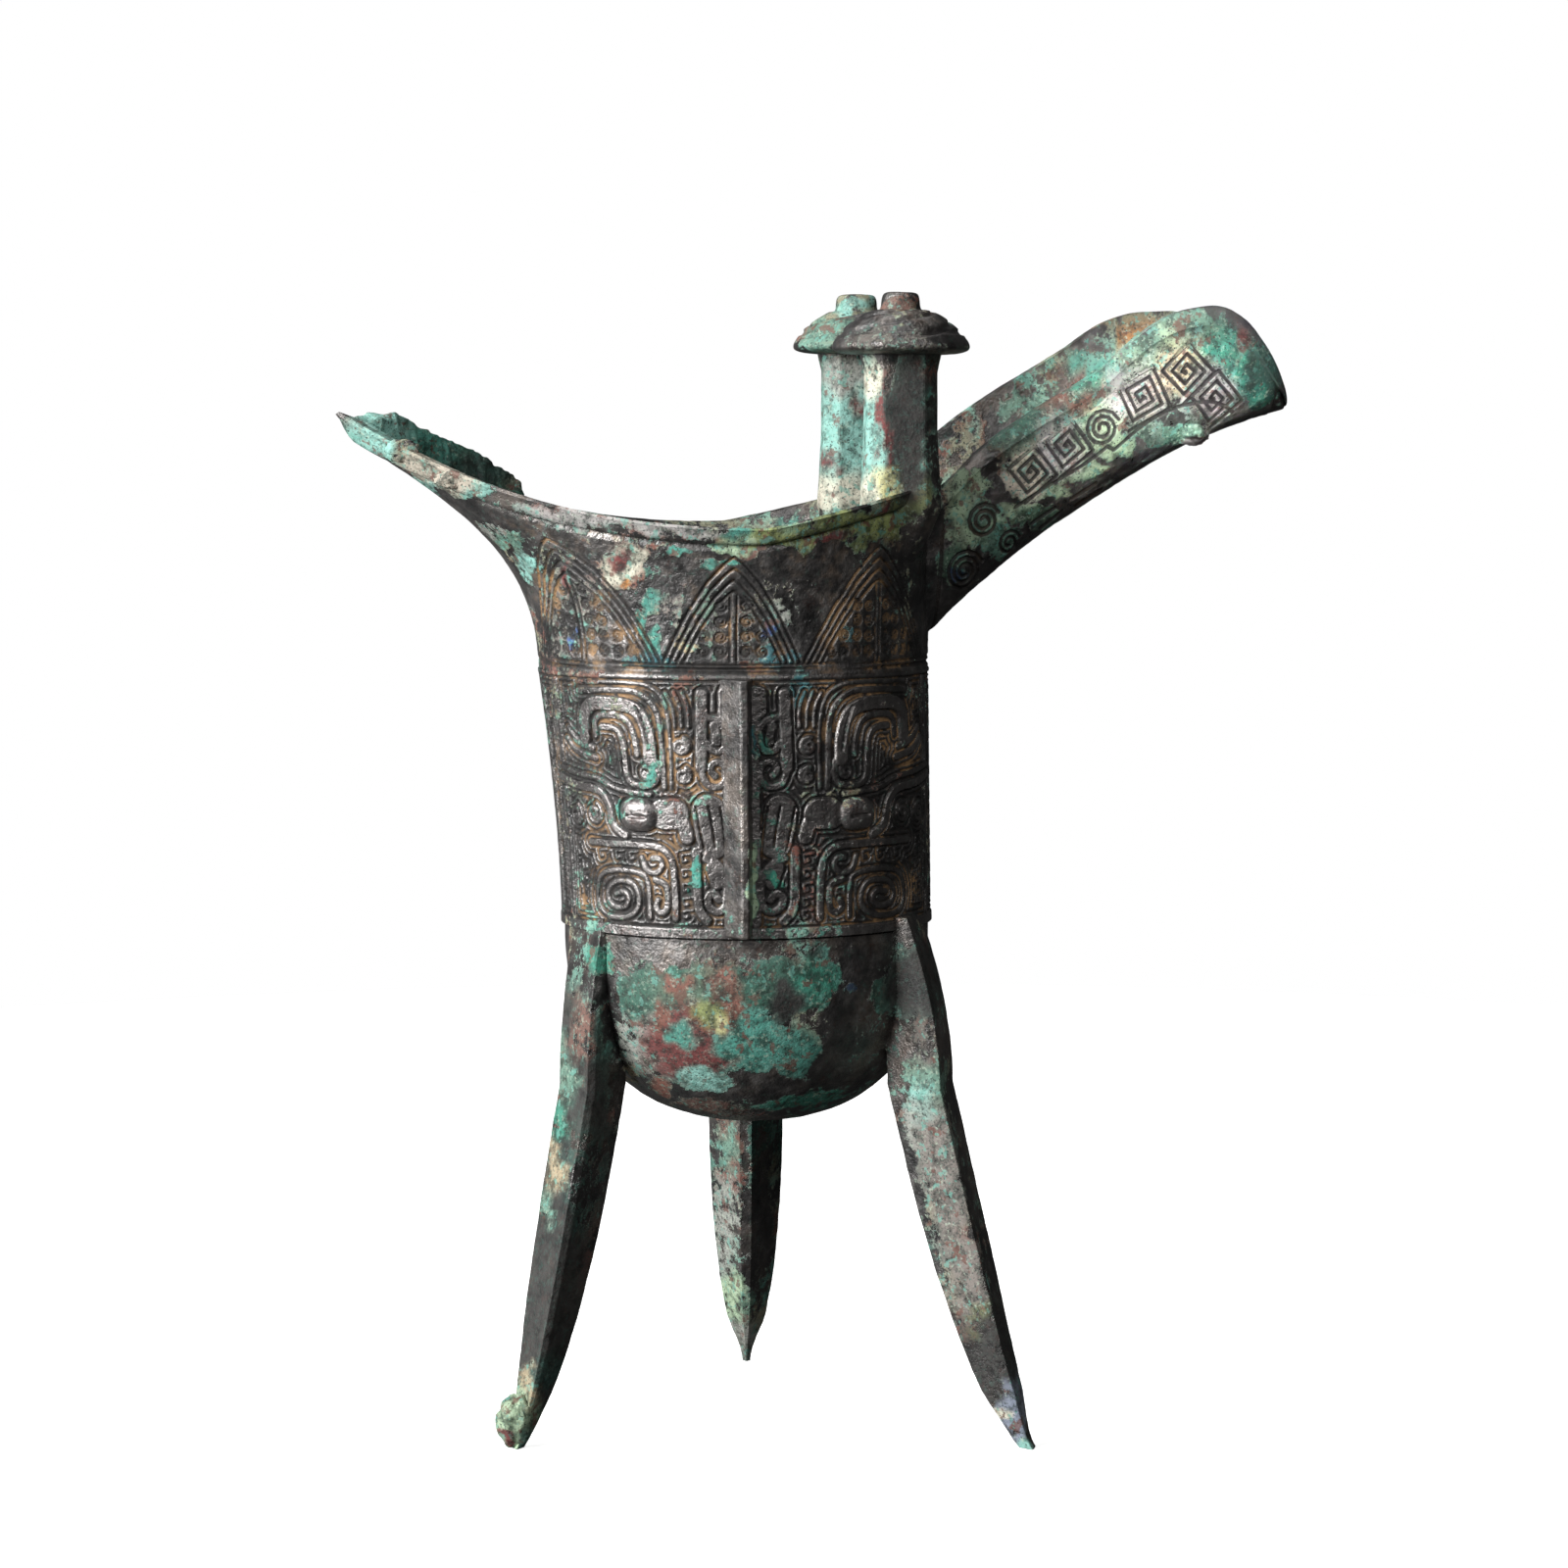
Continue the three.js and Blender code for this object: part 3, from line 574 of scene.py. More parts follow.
# Half of the animal mask: width, height and path of each raised strip. A path's points are the distance
# from the flange along the wall and the height above the floor. The back mask leaves out the first few,
# which stand where the handle is.
MASK_STRIPS = [
    (1.7, 0.35, [(1.6, 129.0), (2.0, 90.5)]),
    (2.0, 0.35, [(2.5, 128.7), (2.6, 125.6)]),
    (1.6, 0.35, [(6.5, 128.5), (7.0, 116.3)]),
    (0.9, 0.35, [
        (7.0, 116.3), (6.7, 114.4), (5.8, 113.2), (4.1, 113.0), (2.9, 113.9), (2.6, 115.8),
        (3.4, 117.3), (5.0, 117.2), (5.5, 115.8), (4.6, 114.9),
    ]),
    (0.9, 0.3, [
        (5.6, 124.6), (3.7, 124.4), (2.6, 122.6), (2.5, 120.2), (3.4, 118.9), (5.1, 119.1),
        (5.7, 120.3),
    ]),
    (1.3, 0.3, [(4.6, 123.2), (4.2, 122.1), (4.2, 120.6)]),
    (0.8, 0.25, [
        (30.3, 128.5), (19.5, 129.1), (16.5, 128.1), (14.6, 126.2), (13.9, 123.3), (13.8, 118.9),
        (13.7, 112.9),
    ]),
    (0.5, 0.2, [
        (30.1, 130.0), (18.7, 130.3), (14.9, 129.6), (12.9, 127.4), (12.3, 123.3), (12.2, 119.0),
        (12.4, 112.7),
    ]),
    (2.0, 0.5, [
        (29.6, 120.6), (28.9, 126.7), (20.9, 126.7), (18.2, 125.9), (16.8, 124.1), (16.0, 121.0),
        (16.0, 117.5),
    ]),
    (0.9, 0.3, [(27.2, 121.0), (26.8, 124.6), (21.8, 124.8), (19.6, 123.6), (18.8, 121.0), (18.5, 118.2)]),
    (0.9, 0.35, [
        (14.9, 117.0), (14.7, 114.5), (15.8, 113.1), (19.7, 113.0), (20.9, 114.3), (20.9, 117.3),
        (21.3, 121.0), (22.6, 122.6), (25.5, 122.7),
    ]),
    (0.9, 0.3, [(34.6, 121.9), (32.4, 119.9), (28.1, 118.9)]),
    (0.9, 0.3, [(35.3, 120.2), (33.0, 118.1), (27.5, 117.2)]),
    (1.2, 0.45, [
        (39.0, 113.6), (33.3, 112.4), (27.8, 112.2), (25.8, 110.5), (25.0, 108.4), (24.7, 106.0),
        (22.0, 104.5),
    ]),
    (0.7, 0.3, [(39.0, 115.2), (33.0, 114.3), (26.8, 113.9), (23.9, 112.2), (16.5, 111.6)]),
    (4.8, 0.35, [(5.9, 109.0), (5.6, 106.0), (5.1, 103.9)]),
    (4.4, 0.4, [(14.2, 108.4), (12.1, 108.5)]),
    (2.0, 0.4, [(11.6, 109.2), (10.5, 107.0), (9.9, 104.6)]),
    (1.1, 0.35, [
        (6.5, 101.1), (4.5, 100.4), (3.2, 98.4), (2.8, 95.7), (3.0, 93.2), (4.4, 92.0),
        (6.2, 92.9), (6.5, 94.8), (5.3, 95.5), (4.4, 94.3),
    ]),
    (1.8, 0.35, [(5.5, 99.6), (4.9, 97.9), (4.6, 97.0)]),
    (1.3, 0.35, [(8.3, 102.4), (8.3, 95.6), (8.0, 92.3), (6.5, 90.7)]),
    (1.0, 0.35, [(30.7, 103.0), (15.7, 103.2), (13.6, 102.0), (12.6, 99.9), (12.4, 95.5), (12.4, 91.0)]),
    (0.8, 0.3, [(18.8, 101.0), (18.1, 98.8), (16.3, 98.2), (14.6, 99.5), (15.2, 101.1), (16.7, 100.9)]),
    (0.9, 0.3, [
        (16.3, 97.3), (14.3, 96.8), (13.8, 94.9), (14.0, 92.4), (15.1, 91.6), (16.4, 92.6),
        (15.8, 93.9),
    ]),
    (0.75, 0.3, [
        (17.5, 91.0), (17.5, 96.7), (18.6, 98.3), (23.6, 98.8), (28.4, 98.0), (29.8, 94.6),
        (29.2, 91.6), (26.4, 90.4), (21.7, 90.8), (19.6, 92.6), (19.8, 95.4), (21.6, 97.0),
        (25.5, 96.6), (27.3, 94.3), (25.9, 92.3), (22.9, 92.2), (21.7, 93.6), (22.7, 95.1),
        (24.9, 94.6),
    ]),
    (1.0, 0.3, [(37.1, 130.0), (38.0, 116.0)]),
    (1.0, 0.3, [(38.0, 111.5), (38.2, 90.0)]),
]
MASK_LINES = [
    [(8.2, 109.7), (7.6, 106.0), (6.8, 102.5)],
    [(5.9, 109.9), (5.2, 105.7), (4.9, 103.0)],
    [(3.9, 109.7), (3.2, 105.8), (2.9, 101.5)],
    [(18.0, 126.3), (16.7, 123.0), (16.1, 119.0)],
]
# Round coils: place and radius
MASK_COILS = [
    (29.2, 107.8, 1.9),
    (34.6, 107.4, 1.8),
    (16.9, 115.4, 1.5),
    (10.4, 119.8, 1.5),
    (10.2, 114.9, 1.4),
]
MASK_SMALL_COILS = [(10.3, 100.9), (10.3, 98.4), (10.2, 96.0), (10.2, 93.6), (10.2, 91.5)]
MASK_SMALL_COILS += [(27.8, 101.0), (23.8, 101.0), (20.7, 101.0)]
MASK_FAN = [
    [(12.6, 128.6), (11.4, 126.4), (11.3, 123.0)],
    [(11.2, 128.8), (10.2, 126.4), (10.1, 123.0)],
    [(9.8, 128.8), (8.9, 126.6), (8.9, 123.0)],
]
# The eye: place, half width, half height, and how far it stands out
MASK_EYE = (18.9, 108.2, 3.5, 2.8, 1.5)
# The front mask is a little narrower to the tail than to the spout.
MASK_STRETCH = {-1: 0.94, 1: 1.06}
BACK_MASK_FROM = 6
STRIP_WIDENED = 1.15
STRIP_ADDED = 0.1
# Width and height of the thin raised strips, and width and depth of the cut lines
FAN_STRIP = (0.55, 0.25)
COIL_STRIP = (0.75, 0.3)
SMALL_COIL_STRIP = (0.45, 0.2)
MASK_CUT = (0.3, 0.4)
PUPIL_CUT = (0.5, 0.5)
# Raised borders along the band: height above the floor, width and how far they stand out. Upright ones
# close it at the tail and the spout.
BAND_BORDERS = [(88.5, 1.9, 0.35), (131.2, 0.7, 0.3)]
END_BORDER = (2.4, 0.25)
BORDER_REACH = 60


def carve_mask(carving, side, stretch, full):
    """One half of the animal mask, to one side of the flange."""

    def placed(path):
        return [(side * stretch * u, v) for u, v in path]

    for width, height, path in MASK_STRIPS if full else MASK_STRIPS[BACK_MASK_FROM:]:
        carving.strip(rounded(placed(path)), width * STRIP_WIDENED + STRIP_ADDED, height)
    for path in MASK_LINES:
        carving.line(rounded(placed(path)), *MASK_CUT)
    for path in MASK_FAN:
        carving.strip(rounded(placed(path)), *FAN_STRIP)
    for u, v, radius in MASK_COILS:
        coil = round_coil(side * stretch * u, v, radius, 1.6, 1.2, side)
        carving.strip(coil, *COIL_STRIP)
    for u, v in MASK_SMALL_COILS:
        coil = square_coil(side * stretch * u, v, 0.95, 0.95, 1)
        carving.strip(coil, *SMALL_COIL_STRIP)
    u, v, half_u, half_v, height = MASK_EYE
    carving.boss(side * stretch * u, v, half_u, half_v, height)
    carving.line(placed([(u - 1.5, v - 0.3), (u + 1.5, v - 0.1)]), *PUPIL_CUT)


def mask_band(name, centre, low_angle, high_angle, pitch, full):
    """A skin over part of the band, with the mask on both sides of a centre line."""
    low_run, high_run = run_at(low_angle), run_at(high_angle)
    bottom = BAND["bottom"] + BAND["bevel"]
    runs = np.linspace(low_run, high_run, grid_count(high_run - low_run, pitch))
    heights = np.linspace(bottom, BAND["top"], grid_count(BAND["top"] - bottom, pitch))
    u, v = np.meshgrid(runs - run_at(centre), heights)
    grid = ring_point(np.broadcast_to(angle_at(runs), u.shape), v, -BAND["proud"])
    carving = Carving(u, v)
    for side in (-1, 1):
        carve_mask(carving, side, MASK_STRETCH[side] if full else 1.0, full)
    for end in (0, 180) if centre < 180 else (180, 360):
        along = run_at(end) - run_at(centre)
        carving.strip([(along, 87), (along, 132)], *END_BORDER)
    for height, width, rise in BAND_BORDERS:
        carving.strip([(-BORDER_REACH, height), (BORDER_REACH, height)], width, rise)
    cells = lattice(u.min(), u.max(), 89.4, 130.9, 2.1)
    carving.coils(cells, half=0.85, width=0.42, height=0.3, pitch=0.85)
    relief = carving.result(ground=-0.12, line_height=0.3, line_step=0.92, coils_from=2.35) - 0.1
    relief += 0.03 * roughened(grid, 0.7)
    return carved_skin(name, grid, relief, SKIN_DEPTH)


def roughened(grid, size):
    """Unevenness over a grid, in grains of a size."""
    return lattice_noise(grid.reshape(-1, 3), size, 5).reshape(grid.shape[:2])


# Blades that rise on the neck: distance of the point from the flange, its height, half width.
FRONT_BLADES = [(-1.2, 151.2, 10.8), (24.5, 152.8, 14.2), (-26.5, 154.0, 14.0), (48.0, 152, 9)]
BACK_BLADES = [
    (0.0, 151, 11.0),
    (23.0, 151, 11.5),
    (-23.0, 151, 11.5),
    (46.0, 151, 11),
    (-46.0, 151, 11),
]
BLADE_BASE = 133.8
# A blade's side as shares of its half width and of its height, and its outlines' distances inwards
BLADE_SIDE = [(1, 0), (0.84, 0.22), (0.63, 0.48), (0.36, 0.76), (0.12, 0.94), (0, 1)]
BLADE_OUTLINES = (0.0, 0.95, 1.9, 2.8)
NECK_SKIN_HEIGHT = 27
# Three lines run round the neck under the blades.
NECK_RINGS = (131.8, 132.6, 133.4)
BLADE_CUT = (0.34, 0.34)
SPINE_CUT = (0.3, 0.3)
BLADE_COIL_CUT = (0.3, 0.28)
RING_CUT = (0.32, 0.32)


def blade_path(u, apex, half, inward):
    """A pointed arch, drawn in from the outline by a distance."""
    half, tall = half - inward * 1.15, apex - BLADE_BASE - inward * 2
    side = [(reach * half, BLADE_BASE + rise * tall) for reach, rise in BLADE_SIDE]
    return [(u - reach, v) for reach, v in side] + [(u + reach, v) for reach, v in reversed(side)]


def carve_blade(carving, u, apex, half):
    """Outlines one inside the other, a double line up the middle, and small coils between."""
    for inward in BLADE_OUTLINES:
        carving.line(blade_path(u, apex, half, inward), *BLADE_CUT)
    tall = apex - BLADE_BASE
    for offset in (-0.5, 0.5):
        spine = [(u + offset, BLADE_BASE), (u + offset, BLADE_BASE + tall * 0.66)]
        carving.line(spine, *SPINE_CUT)
    widths, heights = zip(*BLADE_SIDE)
    for rise in np.arange(1.7, tall * 0.6, 2.5):
        reach = half * np.interp(rise / tall, heights, widths) - 3.6
        for k, offset in enumerate(np.arange(2.0, reach, 2.45)):
            for side in (-1, 1):
                coil = round_coil(u + side * offset, BLADE_BASE + rise, 1.05, 1.7, 2.0 * k, side)
                carving.line(coil, *BLADE_COIL_CUT)


def neck_skin(name, centre, low_angle, high_angle, pitch, blades):
    """A skin over half of the neck, with its blades."""
    low_run, high_run = run_at(low_angle), run_at(high_angle)
    runs = np.linspace(low_run, high_run, grid_count(high_run - low_run, pitch))
    shares = np.linspace(0, 1, grid_count(NECK_SKIN_HEIGHT, pitch)) ** 0.9
    u, share = np.meshgrid(runs - run_at(centre), shares)
    grid = neck_point(np.broadcast_to(angle_at(runs), u.shape), share, -BAND["proud"])
    carving = Carving(u, grid[..., 2])
    for blade in blades:
        carve_blade(carving, *blade)
    for height in NECK_RINGS:
        carving.line([(u.min() - 1, height), (u.max() + 1, height)], *RING_CUT)
    relief = 0.04 * roughened(grid, 0.8) + 0.05 * roughened(grid, 3.0) - carving.cut
    # The top edge sinks under the lip.
    sunk = BAND["proud"] * smooth((share - 0.93) / 0.07)
    grid = grid - outward_normals(grid, (0, 0, 0)) * sunk[..., None]
    return carved_skin(name, grid, relief, SKIN_DEPTH)


# The spout's carved panel: where it starts and ends along the spout, the length and height that its grid
# is divided by, how far it starts above the underside, and how far the cast wall lies inside it.
PANEL = {"start": 31.5, "end": 93.0, "long": 62.0, "tall": 30.0, "floor": 0.35, "inset": 0.55}


def spout_skin(name, side, pitch):
    """Carved side of the spout, below its lip band. Its border sinks into the wall."""
    start, end, tall = PANEL["start"], PANEL["end"], PANEL["tall"]
    stations = np.linspace(start, end, grid_count(PANEL["long"], pitch))
    shares = np.linspace(0, 1, grid_count(tall, pitch))
    x, share = np.meshgrid(stations, shares)
    edge = edge_height(x) if side < 0 else back_edge_height(x)
    high = edge - SPOUT["lip"] + 0.3
    low = keel_height(x) + PANEL["floor"]
    z = mix(low, high, share)
    grid = spout_side_point(x, z, side)
    carving = Carving(x, z)
    carve_spout(carving)
    relief = 0.05 * roughened(grid, 0.9) + 0.07 * roughened(grid, 3.0) - carving.cut
    border = np.minimum(np.minimum(share, 1 - share) * tall, np.minimum(x - start, end - x))
    relief = relief - 0.5 * (1 - smooth(border / 0.8))
    middle = turn_spout(points(60.0, 0.0, 160.0))
    return carved_skin(name, grid, relief, SPOUT_SKIN_DEPTH, centre=middle)


# Coils cut on the spout: distance along it, height, half size, turn in degrees, square or round.
SPOUT_COILS = [
    (47.4, 165.0, 3.8, 38, True),
    (53.8, 169.4, 3.8, 36, True),
    (60.2, 172.4, 3.3, 30, False),
    (67.2, 177.9, 4.4, 26, True),
    (75.0, 182.2, 4.0, 44, True),
    (80.6, 177.6, 4.0, 42, True),
    (39.2, 156.6, 3.1, 0, False),
    (44.5, 152.8, 2.3, 0, False),
    (36.4, 148.0, 3.7, 0, False),
]
SPOUT_BARS = [
    ((48.5, 156.2), (52.6, 158.8)),
    ((50.6, 155.3), (54.2, 158.2)),
    ((55.5, 160.2), (60.0, 163.0)),
    ((57.0, 159.2), (61.5, 161.9)),
]
SQUARE_COIL_PITCH = 1.25
ROUND_COIL_PITCH = 1.35
SPOUT_COIL_CUT = (0.5, 0.38)
BAR_CUT = (0.7, 0.38)
BORDER_CUT = (0.55, 0.38)


def carve_spout(carving):
    """Coils and short bars, between two lines that follow the spout's edge."""
    for x, z, half, turn, square in SPOUT_COILS:
        if square:
            c, s = math.cos(math.radians(turn)), math.sin(math.radians(turn))
            upright = square_coil(0, 0, half, SQUARE_COIL_PITCH, 3)
            coil = [(x + c * a - s * b, z + s * a + c * b) for a, b in upright]
        else:
            coil = round_coil(x, z, half, half / ROUND_COIL_PITCH, 0.5)
        carving.line(coil, *SPOUT_COIL_CUT)
    for bar in SPOUT_BARS:
        carving.line(bar, *BAR_CUT)
    along = np.linspace(45.0, 84.5, 30)
    below = [(x, float(edge_height(x)) - (14.6 if x < 62 else 16.4)) for x in along]
    above = [(x, float(edge_height(x)) - 5.4) for x in along]
    carving.line(below, *BORDER_CUT)
    carving.line(above, *BORDER_CUT)


# The cast body: filled cup and spout, with the hollow and the spout's channel cut away. Its columns
# crowd together at the tail, and under the carved skins it is drawn in.
COLUMNS_A_SIDE = 170
COLUMN_ANGLES = np.concatenate(
    [
        180 * (np.arange(COLUMNS_A_SIDE) / COLUMNS_A_SIDE) ** 1.2,
        360 - 180 * (np.arange(COLUMNS_A_SIDE, 0, -1) / COLUMNS_A_SIDE) ** 1.2,
    ]
)
UNDER_SKIN = 0.5


def cup_filled():
    """The bowl, band, neck and lip without the hollow."""
    angles = COLUMN_ANGLES
    bowl = mix(BOWL["bottom"], BOWL["top"], np.linspace(0.03, 1, 84) ** 2)
    band = np.linspace(BAND["bottom"] + 2, BAND["top"] - 2, 12)
    rings = [ring_point(angles, z) for z in bowl]
    rings.append(ring_point(angles, BAND["bottom"] - 0.1))
    rings.append(ring_point(angles, BAND["bottom"] + 0.1, UNDER_SKIN))
    rings += [ring_point(angles, z, UNDER_SKIN) for z in band]
    rings += [neck_point(angles, share, UNDER_SKIN) for share in np.linspace(0, 1, 20)]
    for lift, inset in ((0.0, 0.45), (0.08, 0.15), (0.25, 0.0), (0.5, -0.05), (0.75, 0.0)):
        rings.append(mix(under_lip(angles, inset), rim_point(angles, inset), lift))
    rim = rim_point(angles, 0)
    rim[..., 2] -= 0.45
    rings.append(rim)
    rings.append(rim_point(angles, 0.3))
    return ring_loft("cup_wall", rings, (BOWL["drift"], 0, BOWL["bottom"]), (0, 0, RIM["dip"]))


def cup_hollow():
    """The inside, one wall in from the outside, with its edge rounded at the rim and open above."""
    angles = COLUMN_ANGLES
    floor = BOWL["bottom"] + WALL * FLOOR_THICKER
    bowl = mix(floor, BOWL["top"], np.linspace(0.06, 1, 26) ** 2)
    band = np.linspace(BAND["bottom"], BAND["top"] - 2, 10)
    rings = [ring_point(angles, z, WALL) for z in np.concatenate([bowl, band])]
    rings += [neck_point(angles, share, WALL) for share in np.linspace(0, 1, 20)]
    low = rim_point(angles, WALL)
    low[..., 2] -= 0.4
    rings.append(low)
    wide = rim_point(angles, WALL - 0.4)
    rings.append(wide)
    high = wide.copy()
    high[..., 2] = ABOVE
    rings.append(high)
    return ring_loft("cup_hollow", rings, (BOWL["drift"], 0, floor), (0, 0, ABOVE))


LIP_ROUNDING = 0.3


def spout_stations(count):
    """Distances along the spout, which crowd together towards its tip."""
    end = SPOUT["tip"] - 0.3
    return end - (end - SPOUT["start"]) * (1 - np.linspace(0, 1, count)) ** 1.35


def spout_filled():
    """A trough filled to its edges, with a lip band on each side that stands proud of the panel."""
    rings = []
    for x in spout_stations(110):
        half = float(spout_half(x))
        edges = [float(edge_height(x)), float(back_edge_height(x))]
        floor = min(float(keel_height(x)), edges[0] - 0.6)
        lip = min(SPOUT["lip"], (edges[0] - floor) * 0.4)
        panel = max(half - LIP["proud"] - PANEL["inset"], half * 0.7)
        section = trough_section(x, panel, floor + PANEL["floor"], edges, 41)[3:-3]
        inner = half - LIP_ROUNDING
        band = [(inner, 0), (half, -0.5), (half, -lip + 0.2), (inner, -lip)]
        front = [(x, -out, edges[0] + rise) for out, rise in band]
        back = [(x, out, edges[1] + rise) for out, rise in reversed(band)]
        rings.append(np.concatenate([turn_spout(np.array(front)), section, turn_spout(np.array(back))]))
    rings = np.array(rings)
    return ring_loft("spout_filled", rings, rings[0].mean(axis=0), rings[-1].mean(axis=0))


def spout_channel():
    """What is cut out of the spout: its inside, and all that is above it."""
    rings = []
    for x in spout_stations(80):
        half = max(float(spout_half(x)) - SPOUT["wall"], 1)
        floor = float(keel_height(x)) + SPOUT["wall"]
        edges = [max(float(edge), floor + 1) for edge in (edge_height(x), back_edge_height(x))]
        top = turn_spout(np.array([(x, half, ABOVE), (x, -half, ABOVE)]))
        rings.append(np.concatenate([trough_section(x, half, floor, edges, 33), top]))
    rings = np.array(rings)
    return ring_loft("spout_channel", rings, rings[0].mean(axis=0), rings[-1].mean(axis=0))


def apply_boolean(piece, other, operation):
    pick(piece)
    cut = piece.modifiers.new(operation, "BOOLEAN")
    cut.operation = operation
    cut.solver = "MANIFOLD"
    cut.object = other
    bpy.ops.object.modifier_apply(modifier=cut.name)
    bpy.data.objects.remove(other)


def cast_wall():
    """The open cup with its spout, the piece that all others lie on."""
    wall = cup_filled()
    apply_boolean(wall, spout_filled(), "UNION")
    apply_boolean(wall, cup_hollow(), "DIFFERENCE")
    apply_boolean(wall, spout_channel(), "DIFFERENCE")
    pick(wall)
    bpy.ops.object.shade_smooth_by_angle(angle=math.radians(42))
    return wall


def draw_out(name, sections, smooth_angle=40):
    """A solid drawn out by extruding a first section on through the others."""
    clear_selection()
    count = len(sections[0])
    bpy.ops.mesh.primitive_circle_add(vertices=count, radius=0.01, fill_type="NGON", enter_editmode=True)
    piece = bpy.context.object
    piece.name = piece.data.name = name
    mesh = bmesh.from_edit_mesh(piece.data)
    for vertex, place in zip(mesh.verts, to_row(sections[0])):
        vertex.co = Vector(place)
    for section in sections[1:]:
        bpy.ops.mesh.extrude_region_move()
        mesh = bmesh.from_edit_mesh(piece.data)
        moved = [vertex for vertex in mesh.verts if vertex.select]
        for vertex, place in zip(moved, to_row(section)):
            vertex.co = Vector(place)
    bmesh.update_edit_mesh(piece.data)
    bpy.ops.mesh.select_all(action="SELECT")
    bpy.ops.mesh.normals_make_consistent(inside=False)
    bpy.ops.object.mode_set(mode="OBJECT")
    bpy.ops.object.shade_smooth_by_angle(angle=math.radians(smooth_angle))
    return piece


def add_modifier(piece, kind, **settings):
    pick(piece)
    modifier = piece.modifiers.new(kind.lower(), kind)
    for setting, value in settings.items():
        setattr(modifier, setting, value)
    bpy.ops.object.modifier_apply(modifier=modifier.name)


def divide(piece, levels):
    """Cuts every face into smaller ones, without rounding the shape."""
    add_modifier(piece, "SUBSURF", subdivision_type="SIMPLE", levels=levels, render_levels=levels)


def weather(piece, depth, coarse=4.2, fine=1.3):
    """Moves the surface in and out a little, as old castings are never quite even."""
    place = places_of(piece)
    out = depth * (0.6 * lattice_noise(place, coarse, 41) + 0.4 * lattice_noise(place, fine, 42))
    piece.data.vertices.foreach_set("co", to_row(place + normals_of(piece) * out[:, None]).ravel())
    piece.data.update()


def nodule(name, centre, radii, depth, seed):
    """A lump of corrosion grown on the metal."""
    clear_selection()
    bpy.ops.mesh.primitive_ico_sphere_add(subdivisions=5, radius=0.001, location=(0, 0, 0))
    piece = bpy.context.object
    piece.name = piece.data.name = name
    ball = np.empty(len(piece.data.vertices) * 3)
    piece.data.vertices.foreach_get("co", ball)
    ball = ball.reshape(-1, 3) * 1000
    swell = 1 + depth * (lattice_noise(ball * 3, 1.6, seed) + 0.5 * lattice_noise(ball * 3, 0.7, seed + 1))
    place = ball * np.array(radii) * swell[:, None] + centre
    piece.data.vertices.foreach_set("co", to_row(place).ravel())
    piece.data.update()
    pick(piece)
    bpy.ops.object.shade_smooth()
    return piece


def heading(degrees):
    return np.array([math.cos(math.radians(degrees)), math.sin(math.radians(degrees)), 0])


# How far the cast surface is out of true, in millimetres
UNEVEN = 0.12


def leg(name, turn, face, top, root, foot, foot_width, breadth, ridge, point):
    """A splayed blade with a ridge down its inner side, narrowing to the foot."""
    outward = heading(face)
    sideways = np.array([-outward[1], outward[0], 0])
    radial = heading(turn)
    half_section = [(0.3, breadth), (0.16, breadth * 1.04), (-ridge, 0.1)]
    corners = half_section + [(out, -side) for out, side in reversed(half_section)]
    sections = []
    for share_up in np.linspace(0, 1, 48):
        z = LEG["top_height"] * share_up**1.1
        share = min(z / LEG["root_height"], 1)
        above = float(between(z, LEG["root_height"], LEG["top_height"]))
        width = mix(foot_width, LEG["root_width"], 1 - (1 - share) ** 3)
        width *= 1 - (1 - point) * float(1 - smooth(z / 10))
        radius = mix(mix(foot, root, share ** LEG["splay"]), top, above ** LEG["top_fade"])
        middle = np.array([0, 0, z]) + radial * radius
        sections.append([middle + outward * out * width + sideways * side * width for out, side in corners])
    piece = draw_out(f"leg_{name}", sections)
    add_modifier(piece, "BEVEL", width=0.0005, segments=2, angle_limit=math.radians(30))
    divide(piece, 2)
    weather(piece, UNEVEN)
    return piece


def post(name, x, y, foot_x, foot_y, top):
    """An eight-sided post that leans out of the wall and widens a little under its cap."""

    def section(cx, cy, z, scale):
        long, wide = POST["long"] / 2 * scale, POST["wide"] / 2 * scale
        cut = POST["chamfer"] * scale
        corners = [(-long, -wide + cut), (-long + cut, -wide), (long - cut, -wide), (long, -wide + cut)]
        corners += [(long, wide - cut), (long - cut, wide), (-long + cut, wide), (-long, wide - cut)]
        return [(cx + a, cy + b, z) for a, b in corners]

    sections = [
        section(foot_x, foot_y, POST["bottom"] - POST["footing"], 0.5),
        section(mix(x, foot_x, 0.4), mix(y, foot_y, 0.4), POST["bottom"] - 3, 0.9),
        section(x, y, POST["bottom"] + 2, 1.08),
        section(x, y, POST["bottom"] + 14, 0.97),
        section(x, y, top - 3, 0.96),
        section(x, y, top + 1, 1.1),
    ]
    piece = draw_out(f"post_{name}", sections)
    add_modifier(piece, "BEVEL", width=0.0004, segments=2, angle_limit=math.radians(25))
    divide(piece, 3)
    weather(piece, UNEVEN)
    return piece


# The lines cut into a cap
CURLS = 4
CURL_DEPTH = 0.32
RING_DEPTH = 0.25


